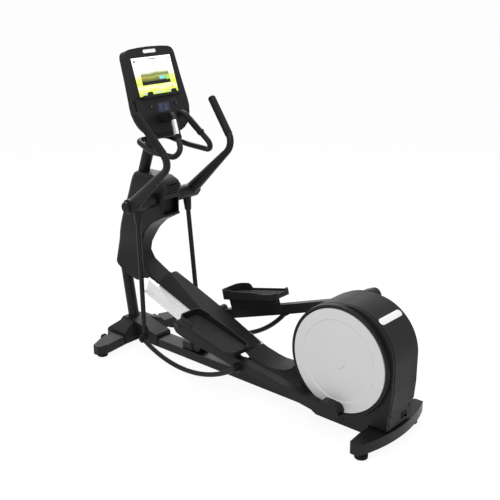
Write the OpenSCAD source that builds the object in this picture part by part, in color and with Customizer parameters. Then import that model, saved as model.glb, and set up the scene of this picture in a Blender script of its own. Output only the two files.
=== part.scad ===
// Elliptical trainer with a front ramp, a rear crank drum and moving handles.
// Millimetres, +Z up, +X towards the crank drum, -Y is the rider's left.

/* [Frame] */
// Length of the front crossbar, end to end
front_bar_span = 768; // [700:2:800]
// Length of the rear crossbar, end to end
rear_bar_span = 610; // [560:2:660]
// Height of the main beam above the floor
beam_z = 42; // [38:1:50]

/* [Drive] */
// Height of the crank axis above the floor
axis_z = 421; // [410:1:430]
// Crank radius, from the axis to the arm pin
crank_r = 260; // [240:1:262]
// Turn of the cranks away from vertical, degrees
crank_phase = 3; // [0:0.5:8]
// Radius of each crank disc
disc_r = 279.5; // [270:0.5:280]

/* [Ramp] */
// Incline of the ramp at rest, degrees
ramp_incline = 20; // [18:0.5:22]
// Length of each rail
rail_l = 814; // [780:2:830]
// Depth of each rail channel
rail_h = 100; // [90:1:104]

/* [Stride] */
// Length of a pedal arm, pin to roller axle
arm_l = 1134; // [1110:2:1150]
// Distance from the arm pin to the link joint, along the arm
joint_u = 644; // [620:2:660]
// Length of the swinging lever, tower pivot to link joint
rod_l = 839; // [820:1:860]
// Chord of the curved link between its two joints
link_l = 755; // [740:1:770]

/* [Tower] */
// Height of the handle pivot above the floor
pivot_z = 1003; // [990:1:1015]
// Outer radius of the mast tube
mast_r = 34; // [32:0.5:36]
// Width of the console at its widest
console_w = 418; // [400:2:440]
// Width of the screen glass
screen_w = 306; // [290:2:320]
// Height of the screen glass
screen_h = 223; // [210:1:230]

/* [Hidden] */
$fn = 72;

front_reach = 1800;
rear_reach = 318;
crank_x = (front_reach - rear_reach) / 2;
fit_gap = 0.05;
skin = 3;

// Places the crank axis where the whole machine is centred on the origin.
module machine() {
    translate([crank_x, 0, 0])
        children();
}

// A side view extruded across the machine, from y0 to y1.
module across(y0, y1) {
    translate([0, y1, 0])
        rotate([90, 0, 0])
            linear_extrude(y1 - y0)
                children();
}

// A front view extruded along the machine, from x0 to x1.
module lengthways(x0, x1) {
    translate([x0, 0, 0])
        rotate([90, 0, 90])
            linear_extrude(x1 - x0)
                children();
}

// A plan view extruded upwards, from z0 to z1.
module upwards(z0, z1) {
    translate([0, 0, z0])
        linear_extrude(z1 - z0)
            children();
}

// A pin along Y at a side-view point.
module y_pin(x, z, r, y0, y1) {
    translate([x, y0, z])
        rotate([-90, 0, 0])
            cylinder(h = y1 - y0, r = r);
}

// A straight round rod or cone from p to q.
module rod(p, q, r1, r2) {
    d = q - p;
    translate(p)
        rotate([0, acos(d[2] / norm(d)), atan2(d[1], d[0])])
            cylinder(h = norm(d), r1 = r1, r2 = r2);
}

// A box given by its two opposite corners.
module block(p, q) {
    translate(p)
        cube(q - p);
}

// A rounded rectangle centred on the origin.
module soft_rect(w, h, r) {
    square([w - 2 * r, h], center = true);
    square([w, h - 2 * r], center = true);
    for (i = [-1, 1])
        for (j = [-1, 1])
            translate([i * (w / 2 - r), j * (h / 2 - r)])
                circle(r);
}

// A link plate outline between two round ends.
module strap(a, b, r) {
    d = b - a;
    translate(a)
        circle(r);
    translate(b)
        circle(r);
    translate(a)
        rotate(atan2(d[1], d[0]))
            translate([0, -r])
                square([norm(d), 2 * r]);
}

// Both mirror images of a part that stands on the +Y side.
module both_sides() {
    children();
    mirror([0, 1, 0])
        children();
}

// Where a rounded bend at corner b between a and c starts and ends.
function unit(v) = v / norm(v);
function half_turn(a, b, c) = acos(unit(a - b) * unit(c - b)) / 2;
function bend_start(a, b, c, r) = b + unit(a - b) * r / tan(half_turn(a, b, c));
function bend_end(a, b, c, r) = b + unit(c - b) * r / tan(half_turn(a, b, c));

// The curved part of a round tube at corner b, a hair thicker than the straights it joins.
bend_swell = 0.06;
bend_lap = 2;
module elbow_piece(a, b, c, bend_r, r) {
    o = b + unit(unit(a - b) + unit(c - b)) * bend_r / sin(half_turn(a, b, c));
    ex = unit(bend_start(a, b, c, bend_r) - o);
    ez = unit(cross(ex, unit(bend_end(a, b, c, bend_r) - o)));
    ey = cross(ez, ex);
    multmatrix([[ex[0], ey[0], ez[0], o[0]], [ex[1], ey[1], ez[1], o[1]], [ex[2], ey[2], ez[2], o[2]], [0, 0, 0, 1]])
        rotate_extrude(angle = 180 - 2 * half_turn(a, b, c))
            translate([bend_r, 0])
                circle(r + bend_swell);
}

// A round tube through corner points, each inner one with its own bend radius.
module bent_rod(pts, bends, r) {
    last = len(pts) - 1;
    starts = [for (i = [0:last - 1]) i == 0 ? pts[0] : bend_end(pts[i - 1], pts[i], pts[i + 1], bends[i - 1])];
    ends = [for (i = [1:last]) i == last ? pts[last] : bend_start(pts[i - 1], pts[i], pts[i + 1], bends[i - 1])];
    for (i = [0:last - 1]) {
        d = unit(ends[i] - starts[i]);
        rod(starts[i] - (i == 0 ? 0 : bend_lap) * d, ends[i] + (i == last - 1 ? 0 : bend_lap) * d, r, r);
    }
    for (i = [1:last - 1])
        elbow_piece(pts[i - 1], pts[i], pts[i + 1], bends[i - 1], r);
}

// The linkage at rest, solved in side view as [x, z] points.
rail_dir = [cos(ramp_incline), -sin(ramp_incline)];
rail_up = [sin(ramp_incline), cos(ramp_incline)];
rail_start = [-1456, 455];
rail_flange = 6;
roller_r = 40;
roller_run = 0.3;
roller_drop = rail_h / 2 - rail_flange - roller_run - roller_r;
lever_pivot = [-1402, pivot_z];
joint_v = -48;
function pin_at(s) = [s * crank_r * sin(crank_phase), axis_z - s * crank_r * cos(crank_phase)];
function roller_along(p) =
    let (w = p - (rail_start - roller_drop * rail_up))
    w * rail_dir - sqrt(arm_l * arm_l - pow(w * rail_up, 2));
function roller_at(p) = rail_start - roller_drop * rail_up + roller_along(p) * rail_dir;
function turn_of(a, b) = atan2(-(b[1] - a[1]), b[0] - a[0]);
function placed(p, t, v) = [p[0] + v[0] * cos(t) + v[1] * sin(t), p[1] - v[0] * sin(t) + v[1] * cos(t)];
function joint_at(p) = placed(p, turn_of(roller_at(p), p), [-joint_u, joint_v]);
function foot_at(j) =
    let (d = j - lever_pivot, l = norm(d), a = (rod_l * rod_l - link_l * link_l + l * l) / (2 * l))
    let (h = sqrt(rod_l * rod_l - a * a))
    lever_pivot + a * d / l + h * [d[1], -d[0]] / l;
pins = [pin_at(1), pin_at(-1)];
rollers = [for (p = pins) roller_at(p)];
arm_turns = [for (i = [0, 1]) turn_of(rollers[i], pins[i])];
joints = [for (p = pins) joint_at(p)];
lever_feet = [for (j = joints) foot_at(j)];
lever_turns = [for (f = lever_feet) atan2(lever_pivot[0] - f[0], lever_pivot[1] - f[1])];
link_turns = [for (i = [0, 1]) turn_of(lever_feet[i], joints[i])];

// Places a part drawn about its own pivot at a side-view point and turn.
module hung(p, t) {
    machine()
        translate([p[0], 0, p[1]])
            rotate([0, t, 0])
                children();
}

// Places a part drawn about the rail start, x along the rail and z square to it.
module on_ramp() {
    machine()
        translate([rail_start[0], 0, rail_start[1]])
            rotate([0, ramp_incline, 0])
                children();
}

// Base frame
beam_half = 55;
beam_wall = 3;
bar_top = 98;
rear_top = 104;
front_x = -1618;
rear_x = 200;
foot_front = [-1665, 305];
foot_rear = [226, 235];
stud_r = 6;
wheel_at = [-1745, 56];
wheel_r = 34;
wheel_in = 203;
wheel_out = 227;
axle_r = 5;

module main_beam() {
    color([0.16, 0.16, 0.17])
        machine()
            difference() {
                block([front_x, -beam_half, beam_z], [rear_x - 13, beam_half, beam_z + beam_half]);
                block([front_x - 1, -beam_half + beam_wall, beam_z + beam_wall],
                    [rear_x, beam_half - beam_wall, beam_z + beam_half - beam_wall]);
            }
}

module front_plan(g) {
    polygon([[-1765 + g, 0], [-1757 + g, 131 - g], [-1693 + g, 304], [-1660 + g, front_bar_span / 2 - 10 - g],
        [-1652 + g, front_bar_span / 2 - g], [-1612 - g, front_bar_span / 2 - g], [-1603 - g, front_bar_span / 2 - 10],
        [-1593 - g, 313], [-1618 - g, 108], [-1618 - g, -108], [-1593 - g, -313],
        [-1603 - g, -front_bar_span / 2 + 10], [-1612 - g, -front_bar_span / 2 + g],
        [-1652 + g, -front_bar_span / 2 + g], [-1660 + g, -front_bar_span / 2 + 10 + g],
        [-1693 + g, -304], [-1757 + g, -131 + g]]);
}

module front_crossbar() {
    color([0.16, 0.16, 0.17])
        machine()
            difference() {
                union() {
                    difference() {
                        upwards(beam_z - 2, bar_top)
                            front_plan(0);
                        upwards(beam_z + 2, bar_top - 4)
                            front_plan(4);
                    }
                    both_sides()
                        for (y = [wheel_in - 9, wheel_out + 1])
                            across(y, y + 8)
                                strap([wheel_at[0], wheel_at[1]], [-1690, wheel_at[1]], 14);
                }
                both_sides() {
                    block([-1830, wheel_in - 1, 0], [-1706, wheel_out + 1, 140]);
                    y_pin(wheel_at[0], wheel_at[1], axle_r + fit_gap, wheel_in - 10, wheel_out + 10);
                    translate([foot_front[0], foot_front[1], 0])
                        cylinder(h = 60, r = stud_r + fit_gap);
                }
            }
}

rear_curve_r = 870;
rear_curve_x = 308 - rear_curve_r;

module rear_plan(g) {
    end = rear_bar_span / 2 - g;
    intersection() {
        translate([rear_curve_x, 0])
            circle(rear_curve_r - g, $fn = 240);
        polygon([[330, -end], [206 + g, -end], [195 + g, -292], [185 + g, -200], [187 + g, -100],
            [187 + g, 100], [185 + g, 200], [195 + g, 292], [206 + g, end], [330, end]]);
    }
}

module rear_crossbar() {
    color([0.16, 0.16, 0.17])
        machine()
            difference() {
                upwards(beam_z + 3, rear_top)
                    rear_plan(0);
                upwards(beam_z + 7, rear_top - 4)
                    rear_plan(4);
                both_sides()
                    translate([foot_rear[0], foot_rear[1], 0])
                        cylinder(h = 60, r = stud_r + fit_gap);
            }
}

module foot_pad(r, top) {
    difference() {
        rotate_extrude()
            polygon([[0, 0], [r - 2, 0], [r, 3], [r, top - 9], [r - 8, top], [0, top]]);
        translate([0, 0, top - 12])
            cylinder(h = 13, r = stud_r + fit_gap);
    }
}

module levelling_feet() {
    color([0.09, 0.09, 0.09])
        machine()
            both_sides() {
                translate([foot_front[0], foot_front[1], 0])
                    foot_pad(33, 26);
                translate([foot_rear[0], foot_rear[1], 0])
                    foot_pad(35, 28);
            }
}

module stud(top, lock) {
    translate([0, 0, top - 12])
        cylinder(h = 74 - top, r = stud_r);
    translate([0, 0, lock - 8])
        cylinder(h = 8, r = 11, $fn = 6);
}

module base_fasteners() {
    color([0.62, 0.62, 0.64])
        machine()
            both_sides() {
                translate([foot_front[0], foot_front[1], 0])
                    stud(26, beam_z - 2);
                translate([foot_rear[0], foot_rear[1], 0])
                    stud(28, beam_z + 3);
                y_pin(wheel_at[0], wheel_at[1], axle_r, wheel_in - 12, wheel_out + 12);
            }
}

module transport_wheel(s) {
    color([0.1, 0.1, 0.1])
        machine()
            translate([wheel_at[0], s * (wheel_in + wheel_out) / 2, wheel_at[1]])
                rotate([90, 0, 0])
                    rotate_extrude()
                        polygon([[axle_r + fit_gap, -11], [16, -11], [18, -8], [24, -8], [27, -11], [wheel_r - 3, -11],
                            [wheel_r, -8], [wheel_r, 8], [wheel_r - 3, 11], [27, 11], [24, 8], [18, 8],
                            [16, 11], [axle_r + fit_gap, 11]]);
}

module wheel_left() {
    transport_wheel(-1);
}

module wheel_right() {
    transport_wheel(1);
}

// Mast
mast_foot = [-1693.3, bar_top];
mast_bend = [-1768.6, 561];
neck_top_z = 1478;
neck_top = [-1556 + 0.364 * (neck_top_z - 1145), neck_top_z];
mast_wall = 3;
mast_lean = unit(mast_bend - mast_foot);
neck_dir = unit(neck_top - mast_bend);
function side3(p) = [p[0], 0, p[1]];

module mast_run(r) {
    bent_rod([side3(mast_foot - 30 * mast_lean), side3(mast_bend), side3(neck_top)], [300], r);
}

module mast() {
    color([0.16, 0.16, 0.17])
        machine()
            difference() {
                union() {
                    mast_run(mast_r);
                    across(-30, 30)
                        polygon([[-1630, pivot_z - 60], [-1594, pivot_z + 38], [-1420, pivot_z + 32],
                            [-1375, pivot_z + 18], [-1375, pivot_z - 20], [-1420, pivot_z - 32]]);
                }
                rod(side3(mast_foot - 31 * mast_lean), side3(mast_bend - 90 * mast_lean),
                    mast_r - mast_wall, mast_r - mast_wall);
                rod(side3(mast_bend + 90 * neck_dir), side3(neck_top + neck_dir),
                    mast_r - mast_wall, mast_r - mast_wall);
                block([-1800, -60, 0], [-1600, 60, bar_top]);
                y_pin(lever_pivot[0], lever_pivot[1], shaft_r + fit_gap, -40, 40);
            }
}

module hub_solid(g) {
    across(-60 + g, 60 - g)
        polygon([[-1790 + g, 40], [-1790 + g, 108], [-1742 + g, 166 - g], [-1650, 166 - g],
            [-1440 - g, 120 - g], [-1432 - g, 112 - g], [-1432 - g, 40]]);
    intersection() {
        lengthways(-1776 + g, -1604 - g)
            polygon([[-164 + g, 40], [-164 + g, 112], [-152, 122 - g], [-45, 164 - g], [45, 164 - g],
                [152, 122 - g], [164 - g, 112], [164 - g, 40]]);
        across(-200, 200)
            polygon([[-1776 + g, 40], [-1776 + g, 104], [-1722, 170 - g], [-1650, 170 - g],
                [-1604 - g, 108], [-1604 - g, 40]]);
    }
}

module hub_cover() {
    color([0.15, 0.15, 0.15])
        machine()
            difference() {
                hub_solid(0);
                difference() {
                    hub_solid(3);
                    block([-1900, -300, bar_top + 40], [-1400, 300, bar_top + 41]);
                }
                block([front_x, -beam_half - 0.3, 30], [-1400, beam_half + 0.3, beam_z + beam_half + 0.3]);
                upwards(30, bar_top + 0.3)
                    front_plan(-0.3);
                block([-1830, -300, 30], [-1400, 300, beam_z + 3]);
                rod(side3(mast_foot - 40 * mast_lean), side3(mast_foot + 120 * mast_lean),
                    mast_r + 0.3, mast_r + 0.3);
            }
}

// Tower shroud, lofted through level sections [z, front x, rear x, half width].
tower_sections = [[440, -1795, -1350, 77.5], [485, -1795.5, -1394, 77.5], [504, -1796, -1424, 74],
    [537, -1798, -1480, 68], [579, -1800, -1535, 56], [634, -1794, -1560, 48], [685, -1777, -1553, 52],
    [738, -1757, -1529, 64], [790, -1736, -1497, 72], [847, -1713, -1436, 76], [880, -1700, -1374, 76],
    [907, -1688, -1324, 75], [918, -1683, -1333, 75], [1008, -1647, -1332, 75], [1086, -1619, -1312, 75],
    [1111, -1610, -1333, 73], [1134, -1600, -1374, 66], [1145, -1586, -1436, 52]];
seam = [[-1520, 1170], [-1530, 1120], [-1590, 957], [-1640, 800], [-1692, 690], [-1716, 600], [-1716, 400]];
tower_round = 46;
rear_round = 14;
shaft_r = 20;
shaft_half = 277;
pocket = [-1363, 58, 918, 1008];
pocket_mouth = -1333.4;

function plan_point(s, g, i) =
    let (q = floor(i / 9), a = (i - 9 * q) * 90 / 8, w = s[3] - g)
    let (front = q == 1 || q == 2, right = q == 0 || q == 1)
    let (r = max(4, (front ? min(tower_round, s[3] - 2) : rear_round) - g))
    let (cx = front ? s[1] + g + r : s[2] - g - r, cy = right ? w - r : r - w)
    [cx + r * cos(q * 90 + a), cy + r * sin(q * 90 + a), s[0]];

// A closed solid through the level sections, each drawn inside by g.
module loft(sections, g) {
    n = 36;
    m = len(sections);
    pts = [for (s = sections) for (i = [0:n - 1]) plan_point(s, g, i)];
    lower = [for (k = [0:m - 2]) for (i = [0:n - 1]) [k * n + i, (k + 1) * n + i, (k + 1) * n + (i + 1) % n]];
    upper = [for (k = [0:m - 2]) for (i = [0:n - 1]) [k * n + i, (k + 1) * n + (i + 1) % n, k * n + (i + 1) % n]];
    polyhedron(points = pts, faces = concat([[for (i = [0:n - 1]) i]], lower, upper,
        [[for (i = [0:n - 1]) m * n - 1 - i]]), convexity = 10);
}

module tower_shell() {
    inner = [for (i = [0:len(tower_sections) - 1]) let (s = tower_sections[i])
        [i == 0 ? s[0] - 1 : i == len(tower_sections) - 1 ? s[0] - skin : s[0], s[1], s[2], s[3]]];
    difference() {
        loft(tower_sections, 0);
        loft(inner, skin);
        across(-100, 100)
            polygon([[-1850, 400], [-1850, 548], [-1798, 548], [-1743, 516], [-1675, 482], [-1574, 460],
                [-1530, 470], [-1500, 492], [-1394, 478], [-1300, 440], [-1300, 400]]);
        y_pin(-700, 170, 742, -100, 100);
        y_pin(lever_pivot[0], lever_pivot[1], shaft_r + 0.4, -100, 100);
        rod(side3(neck_top - 420 * neck_dir), side3(neck_top), mast_r + 0.4, mast_r + 0.4);
    }
}

module tower_front_cover() {
    color([0.14, 0.14, 0.145])
        machine()
            intersection() {
                tower_shell();
                across(-100, 100)
                    polygon(concat([[-1900, 400], [-1900, 1170]], seam));
            }
}

module tower_rear_cover() {
    color([0.13, 0.13, 0.135])
        machine()
            difference() {
                union() {
                    difference() {
                        tower_shell();
                        across(-100, 100)
                            polygon(concat([[-1900, 399], [-1900, 1171]], seam));
                    }
                    block([pocket[0] - skin, -pocket[1] - skin, pocket[2] - skin],
                        [pocket_mouth, pocket[1] + skin, pocket[3] + skin]);
                }
                block([pocket[0], -pocket[1], pocket[2]], [-1290, pocket[1], pocket[3]]);
                for (i = [0:4])
                    block([-1345, -46, 1040 + 13 * i], [-1290, 46, 1045 + 13 * i]);
            }
}

// Pivot shaft of the two handles, carried by an arm on the mast.
module pivot_shaft() {
    color([0.6, 0.6, 0.62])
        machine() {
            y_pin(lever_pivot[0], lever_pivot[1], shaft_r, -shaft_half, shaft_half);
            both_sides()
                y_pin(lever_pivot[0], lever_pivot[1], shaft_r + 7, 80, 91.5);
        }
}

// Fixed handlebar: two bent loops joined by a bar through the neck.
bar_r = 16;
loop_pts = [[-1340, 30, 1504], [-1250, 44, 1524], [-1080, 138, 1303], [-1330, 146, 1313],
    [-1480, 112, 1352], [-1480, 0, 1352]];
loop_bends = [40, 45, 200, 50];
sleeve_dir = unit(loop_pts[2] - loop_pts[1]);

module fixed_handlebar() {
    color([0.12, 0.12, 0.12])
        machine()
            difference() {
                both_sides()
                    bent_rod(loop_pts, loop_bends, bar_r);
                rod(side3(neck_top - 260 * neck_dir), side3(neck_top), mast_r + fit_gap, mast_r + fit_gap);
            }
}

// Sensor sleeves and collars that clip over the straight of each loop.
module pulse_sensors() {
    color([0.72, 0.73, 0.75])
        machine()
            both_sides()
                difference() {
                    rod(loop_pts[1] + 46 * sleeve_dir, loop_pts[1] + 138 * sleeve_dir, bar_r + 3, bar_r + 3);
                    rod(loop_pts[1] + 40 * sleeve_dir, loop_pts[1] + 144 * sleeve_dir,
                        bar_r + fit_gap, bar_r + fit_gap);
                }
}

// Console, drawn about the middle of its face, +X towards the rider and z up the face.
console_at = [-1432, 1717];
console_lean = -18.12;
console_half = console_w / 2;
pod_half = 75;

module on_console() {
    machine()
        translate([console_at[0], 0, console_at[1]])
            rotate([0, console_lean, 0])
                children();
}

module console_outline(g) {
    side = [[100, -330], [130, -318], [158, -298], [182, -270], [198, -236], [console_half, -191],
        [console_half, -150], [console_half - 3, -124], [console_half - 12, 0], [191, 120], [187, 137],
        [177, 151], [162, 159], [145, 163], [80, 168], [0, 170]];
    k = console_half - g;
    inset = [for (p = side) [p[0] * k / console_half, p[1] - (p[1] > 0 ? g : -g)]];
    polygon(concat(inset, [for (i = [len(side) - 2:-1:0]) [-inset[i][0], inset[i][1]]]));
}

module console_back() {
    color([0.13, 0.13, 0.135])
        on_console()
            difference() {
                union() {
                    lengthways(-46, -8)
                        console_outline(0);
                    across(-pod_half, pod_half)
                        polygon([[-118, -150], [-118, -304], [-46, -352], [-12, -352], [-12, -300], [-40, -120],
                            [-60, -120]]);
                    lengthways(-8, 82)
                        translate([0, -240])
                            soft_rect(130, 56, 27);
                }
                lengthways(-42, 20)
                    intersection() {
                        console_outline(4);
                        translate([-300, -190])
                            square([600, 500]);
                    }
                rotate([0, -console_lean, 0])
                    translate([-console_at[0], 0, -console_at[1]]) {
                        rod(side3(neck_top - 200 * neck_dir), side3(neck_top), mast_r + fit_gap, mast_r + fit_gap);
                        both_sides()
                            rod(loop_pts[0], loop_pts[1], bar_r + fit_gap, bar_r + fit_gap);
                    }
            }
}

module console_bezel() {
    color([0.1, 0.1, 0.105])
        on_console()
            difference() {
                union() {
                    lengthways(-8, 2)
                        console_outline(0);
                    lengthways(2, 9)
                        intersection() {
                            console_outline(8);
                            translate([-300, -352])
                                square([600, 230]);
                        }
                }
                block([-1, -screen_w / 2 - 0.3, -screen_h / 2 + 1.2], [20, screen_w / 2 + 0.3, screen_h / 2 + 1.8]);
                block([-4, -45.3, -209.3], [20, 45.3, -154.7]);
                block([0, -49.3, 132.7], [20, 49.3, 153.3]);
                for (s = [-1, 1])
                    translate([-20, s * 98, -170])
                        rotate([0, 90, 0])
                            cylinder(h = 40, r = 11.3);
                lengthways(-9, 20)
                    translate([0, -240])
                        soft_rect(130.6, 56.6, 27.3);
            }
}

module screens() {
    color([0.05, 0.06, 0.07])
        on_console() {
            block([-1, -screen_w / 2, -screen_h / 2 + 1.5], [1.5, screen_w / 2, screen_h / 2 + 1.5]);
            block([-4, -45, -209], [9.4, 45, -155]);
        }
}

module reading_rack() {
    color([0.08, 0.08, 0.085])
        on_console()
            union() {
                block([2, -150, -121.7], [31, 150, -115]);
                for (s = [-1, 1])
                    lengthways(24, 31)
                        translate([s * 92, -106])
                            soft_rect(38, 34, 12);
                block([27, -150, -121.7], [31, 150, -106]);
            }
}

module name_plates() {
    color([0.78, 0.78, 0.8])
        on_console()
            lengthways(0, 3)
                translate([0, 143])
                    soft_rect(98, 20, 9.9);
}

module console_key(s) {
    color([0.3, 0.3, 0.31])
        on_console()
            translate([-5, s * 98, -170])
                rotate([0, 90, 0])
                    cylinder(h = 17, r = 11);
}

module key_left() {
    console_key(-1);
}

module key_right() {
    console_key(1);
}

// Ramp, drawn along the rail: x down the rail, z square to it.
ramp_pivot = [-700, 170];
ramp_rel = [(ramp_pivot[0] - rail_start[0]) * rail_dir[0] + (ramp_pivot[1] - rail_start[1]) * rail_dir[1],
    (ramp_pivot[0] - rail_start[0]) * rail_up[0] + (ramp_pivot[1] - rail_start[1]) * rail_up[1]];
rail_in = 80;
rail_out = 105;
rail_web = 3;
rail_front = -14;
rail_rear = rail_front + rail_l - 9;
ramp_reach = 737;
lift_x = -1180;
lift_slot = [-480, 79.4];
lift_rest_z = 250;
pin_r = 8;
screw_r = 12;

module ramp_rail(s) {
    color([0.74, 0.75, 0.77])
        on_ramp()
            difference() {
                across(s > 0 ? rail_in : -rail_out, s > 0 ? rail_out : -rail_in)
                    polygon([[rail_front, -rail_h / 2], [rail_front, rail_h / 2], [rail_rear, rail_h / 2],
                        [rail_rear - 68, -rail_h / 2]]);
                across(s > 0 ? rail_in + rail_web : -rail_out - 1, s > 0 ? rail_out + 1 : -rail_in - rail_web)
                    translate([rail_front - 10, -rail_h / 2 + rail_flange])
                        square([rail_l + 40, rail_h - 2 * rail_flange]);
            }
}

module rail_left() {
    ramp_rail(-1);
}

module rail_right() {
    ramp_rail(1);
}

module ramp_frame() {
    color([0.16, 0.16, 0.17])
        on_ramp()
            difference() {
                union() {
                    for (x = [150, 560])
                        block([x, -rail_in, -30], [x + 50, rail_in, 10]);
                    both_sides() {
                        across(70, rail_in - 0.05)
                            polygon([[560, -40], [560, 30], [700, 30], [ramp_rel[0], ramp_rel[1] + 30],
                                [ramp_rel[0], ramp_rel[1] - 30], [700, -40]]);
                        y_pin(ramp_rel[0], ramp_rel[1], 30, 60, rail_in - 0.05);
                        across(30, 37)
                            translate([ramp_rel[0], ramp_rel[1]])
                                rotate(ramp_incline)
                                    polygon([[lift_slot[0] - 60, lift_slot[1] - 24], [lift_slot[0] - 60, lift_slot[1] + 95],
                                        [lift_slot[0] + 60, lift_slot[1] + 95], [lift_slot[0] + 60, lift_slot[1] - 24]]);
                        block([150, 30, -30], [610, 37, 10]);
                    }
                }
                y_pin(ramp_rel[0], ramp_rel[1], 12 + fit_gap, -100, 100);
                both_sides()
                    across(29, 38)
                        translate([ramp_rel[0], ramp_rel[1]])
                            rotate(ramp_incline)
                                strap(lift_slot + [-19, 0], lift_slot + [10, 0], pin_r + 1.6);
            }
}

module cover_section(g) {
    intersection() {
        across(-rail_in, rail_in)
            polygon([[0, 40], [0, 200], [60, 136 - g], [82, 131 - g], [rail_rear - 4 - g, 64 - g],
                [rail_rear - 4 - g, 40]]);
        lengthways(0, 900) {
            translate([0, 51])
                circle(rail_in - 0.4 - g);
            translate([-rail_in + 0.4 + g, 40])
                square([2 * (rail_in - 0.4 - g), 12]);
        }
        block([0, -100, 44], [900, 100, 200]);
    }
}

module ramp_cover() {
    color([0.15, 0.15, 0.155])
        on_ramp()
            difference() {
                intersection() {
                    cover_section(0);
                    y_pin(ramp_rel[0], ramp_rel[1], ramp_reach, -100, 100);
                }
                translate([0, 0, -0.5])
                    cover_section(skin);
                block([40, -rail_in + skin, 30], [rail_rear - 8, rail_in - skin, 50]);
            }
}

module lift_drive() {
    color([0.2, 0.2, 0.21])
        machine() {
            upwards(beam_z + beam_half, 145)
                translate([lift_x, 0])
                    soft_rect(90, 90, 14);
            y_pin(lift_x + 75, 125, 27, -40, 40);
            block([lift_x + 40, -20, 105], [lift_x + 60, 20, 140]);
            translate([lift_x, 0, 140])
                cylinder(h = 335 - 140, r = screw_r);
        }
}

module lift_nut() {
    color([0.7, 0.58, 0.3])
        machine()
            difference() {
                union() {
                    translate([lift_x, 0, lift_rest_z])
                        cube([44, 50, 36], center = true);
                    y_pin(lift_x, lift_rest_z, pin_r, -42, 42);
                }
                translate([lift_x, 0, lift_rest_z - 30])
                    cylinder(h = 60, r = screw_r + fit_gap);
            }
}

// Frame inside the drum: crank post, bearing tube and ramp brackets.
shaft_hole = 15;
bearing_out = 31;
drum_wall = 97;
wheel_axis = [140, 268];
flywheel_r = 95;
pulley_r = 150;
small_r = 22;
belt_in = 20;
belt_out = 34;

module drive_frame() {
    color([0.17, 0.17, 0.18])
        machine()
            difference() {
                union() {
                    both_sides() {
                        across(44, 52)
                            polygon([[-60, beam_z + beam_half], [-34, 430], [34, 430], [60, 330], [176, 330], [186, 240],
                                [150, 200], [120, beam_z + beam_half]]);
                        y_pin(0, axis_z, 40, 44, 66);
                        across(46, 54)
                            polygon([[-770, beam_z + beam_half], [-724, 190], [-676, 190], [-600, beam_z + beam_half]]);
                        y_pin(ramp_pivot[0], ramp_pivot[1], 24, 46, 58);
                    }
                    block([-50, -52, beam_z + beam_half], [-20, 52, beam_z + beam_half + 60]);
                    block([-745, -54, beam_z + beam_half], [-730, 54, beam_z + beam_half + 12]);
                    y_pin(ramp_pivot[0], ramp_pivot[1], 12, -79, 79);
                }
                y_pin(0, axis_z, bearing_out + fit_gap, -80, 80);
                y_pin(wheel_axis[0], wheel_axis[1], 16, -80, 80);
            }
}

module crank_bearings() {
    color([0.55, 0.55, 0.57])
        machine()
            both_sides() {
                difference() {
                    y_pin(0, axis_z, bearing_out, 46, 64);
                    y_pin(0, axis_z, shaft_hole + fit_gap, 40, 70);
                }
                difference() {
                    y_pin(wheel_axis[0], wheel_axis[1], 15.95, 44, 52);
                    y_pin(wheel_axis[0], wheel_axis[1], 8 + fit_gap, 40, 60);
                }
            }
}

module brake_unit() {
    color([0.3, 0.3, 0.31])
        machine()
            difference() {
                union() {
                    y_pin(wheel_axis[0], wheel_axis[1], 56, -16, 10);
                    block([wheel_axis[0] - 22, -16, beam_z + beam_half], [wheel_axis[0] + 22, 10, wheel_axis[1]]);
                    block([wheel_axis[0] - 40, -16, beam_z + beam_half], [wheel_axis[0] + 40, 10, beam_z + beam_half + 8]);
                }
                y_pin(wheel_axis[0], wheel_axis[1], 14, -40, 40);
            }
}

module flywheel() {
    color([0.35, 0.35, 0.36])
        machine() {
            difference() {
                y_pin(wheel_axis[0], wheel_axis[1], flywheel_r, -42, -18);
                for (i = [0:5])
                    y_pin(wheel_axis[0] + 58 * cos(60 * i), wheel_axis[1] + 58 * sin(60 * i), 17, -50, -10);
            }
            y_pin(wheel_axis[0], wheel_axis[1], 8, -56, 56);
            y_pin(wheel_axis[0], wheel_axis[1], small_r, belt_in - 2, belt_out + 2);
        }
}

module crank_pulley() {
    color([0.3, 0.3, 0.31])
        machine()
            difference() {
                y_pin(0, axis_z, pulley_r, belt_in - 1, belt_out + 1);
                y_pin(0, axis_z, shaft_hole + fit_gap, 0, 60);
                for (i = [0:4])
                    y_pin(90 * cos(72 * i), axis_z + 90 * sin(72 * i), 30, 0, 60);
            }
}

module drive_belt() {
    color([0.07, 0.07, 0.07])
        machine()
            across(belt_in + 2, belt_out - 2)
                difference() {
                    hull() {
                        translate([0, axis_z])
                            circle(pulley_r + 4);
                        translate(wheel_axis)
                            circle(small_r + 4);
                    }
                    hull() {
                        translate([0, axis_z])
                            circle(pulley_r + 0.4);
                        translate(wheel_axis)
                            circle(small_r + 0.4);
                    }
                }
}

module crankshaft() {
    color([0.6, 0.6, 0.62])
        machine()
            y_pin(0, axis_z, shaft_hole, -128, 128);
}

disc_in = 122;
disc_face = 140.6;
module crank_disc(s) {
    color([0.78, 0.78, 0.79])
        machine()
            mirror([0, s < 0 ? 1 : 0, 0])
                translate([0, 0, axis_z])
                    rotate([-90, 0, 0])
                        rotate_extrude($fn = 120)
                            polygon([[shaft_hole + fit_gap, 112], [34, 112], [34, disc_in], [disc_r - 8, disc_in],
                                [disc_r, disc_in + 5], [disc_r, disc_face - 2], [disc_r - 2, disc_face],
                                [disc_r * 0.8, disc_face], [disc_r * 0.78, disc_face - 4],
                                [40, disc_face - 4], [38, disc_face - 1], [0, disc_face - 1],
                                [0, 128.05], [shaft_hole + fit_gap, 128.05]]);
}

module crank_disc_left() {
    crank_disc(-1);
}

module crank_disc_right() {
    crank_disc(1);
}

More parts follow.
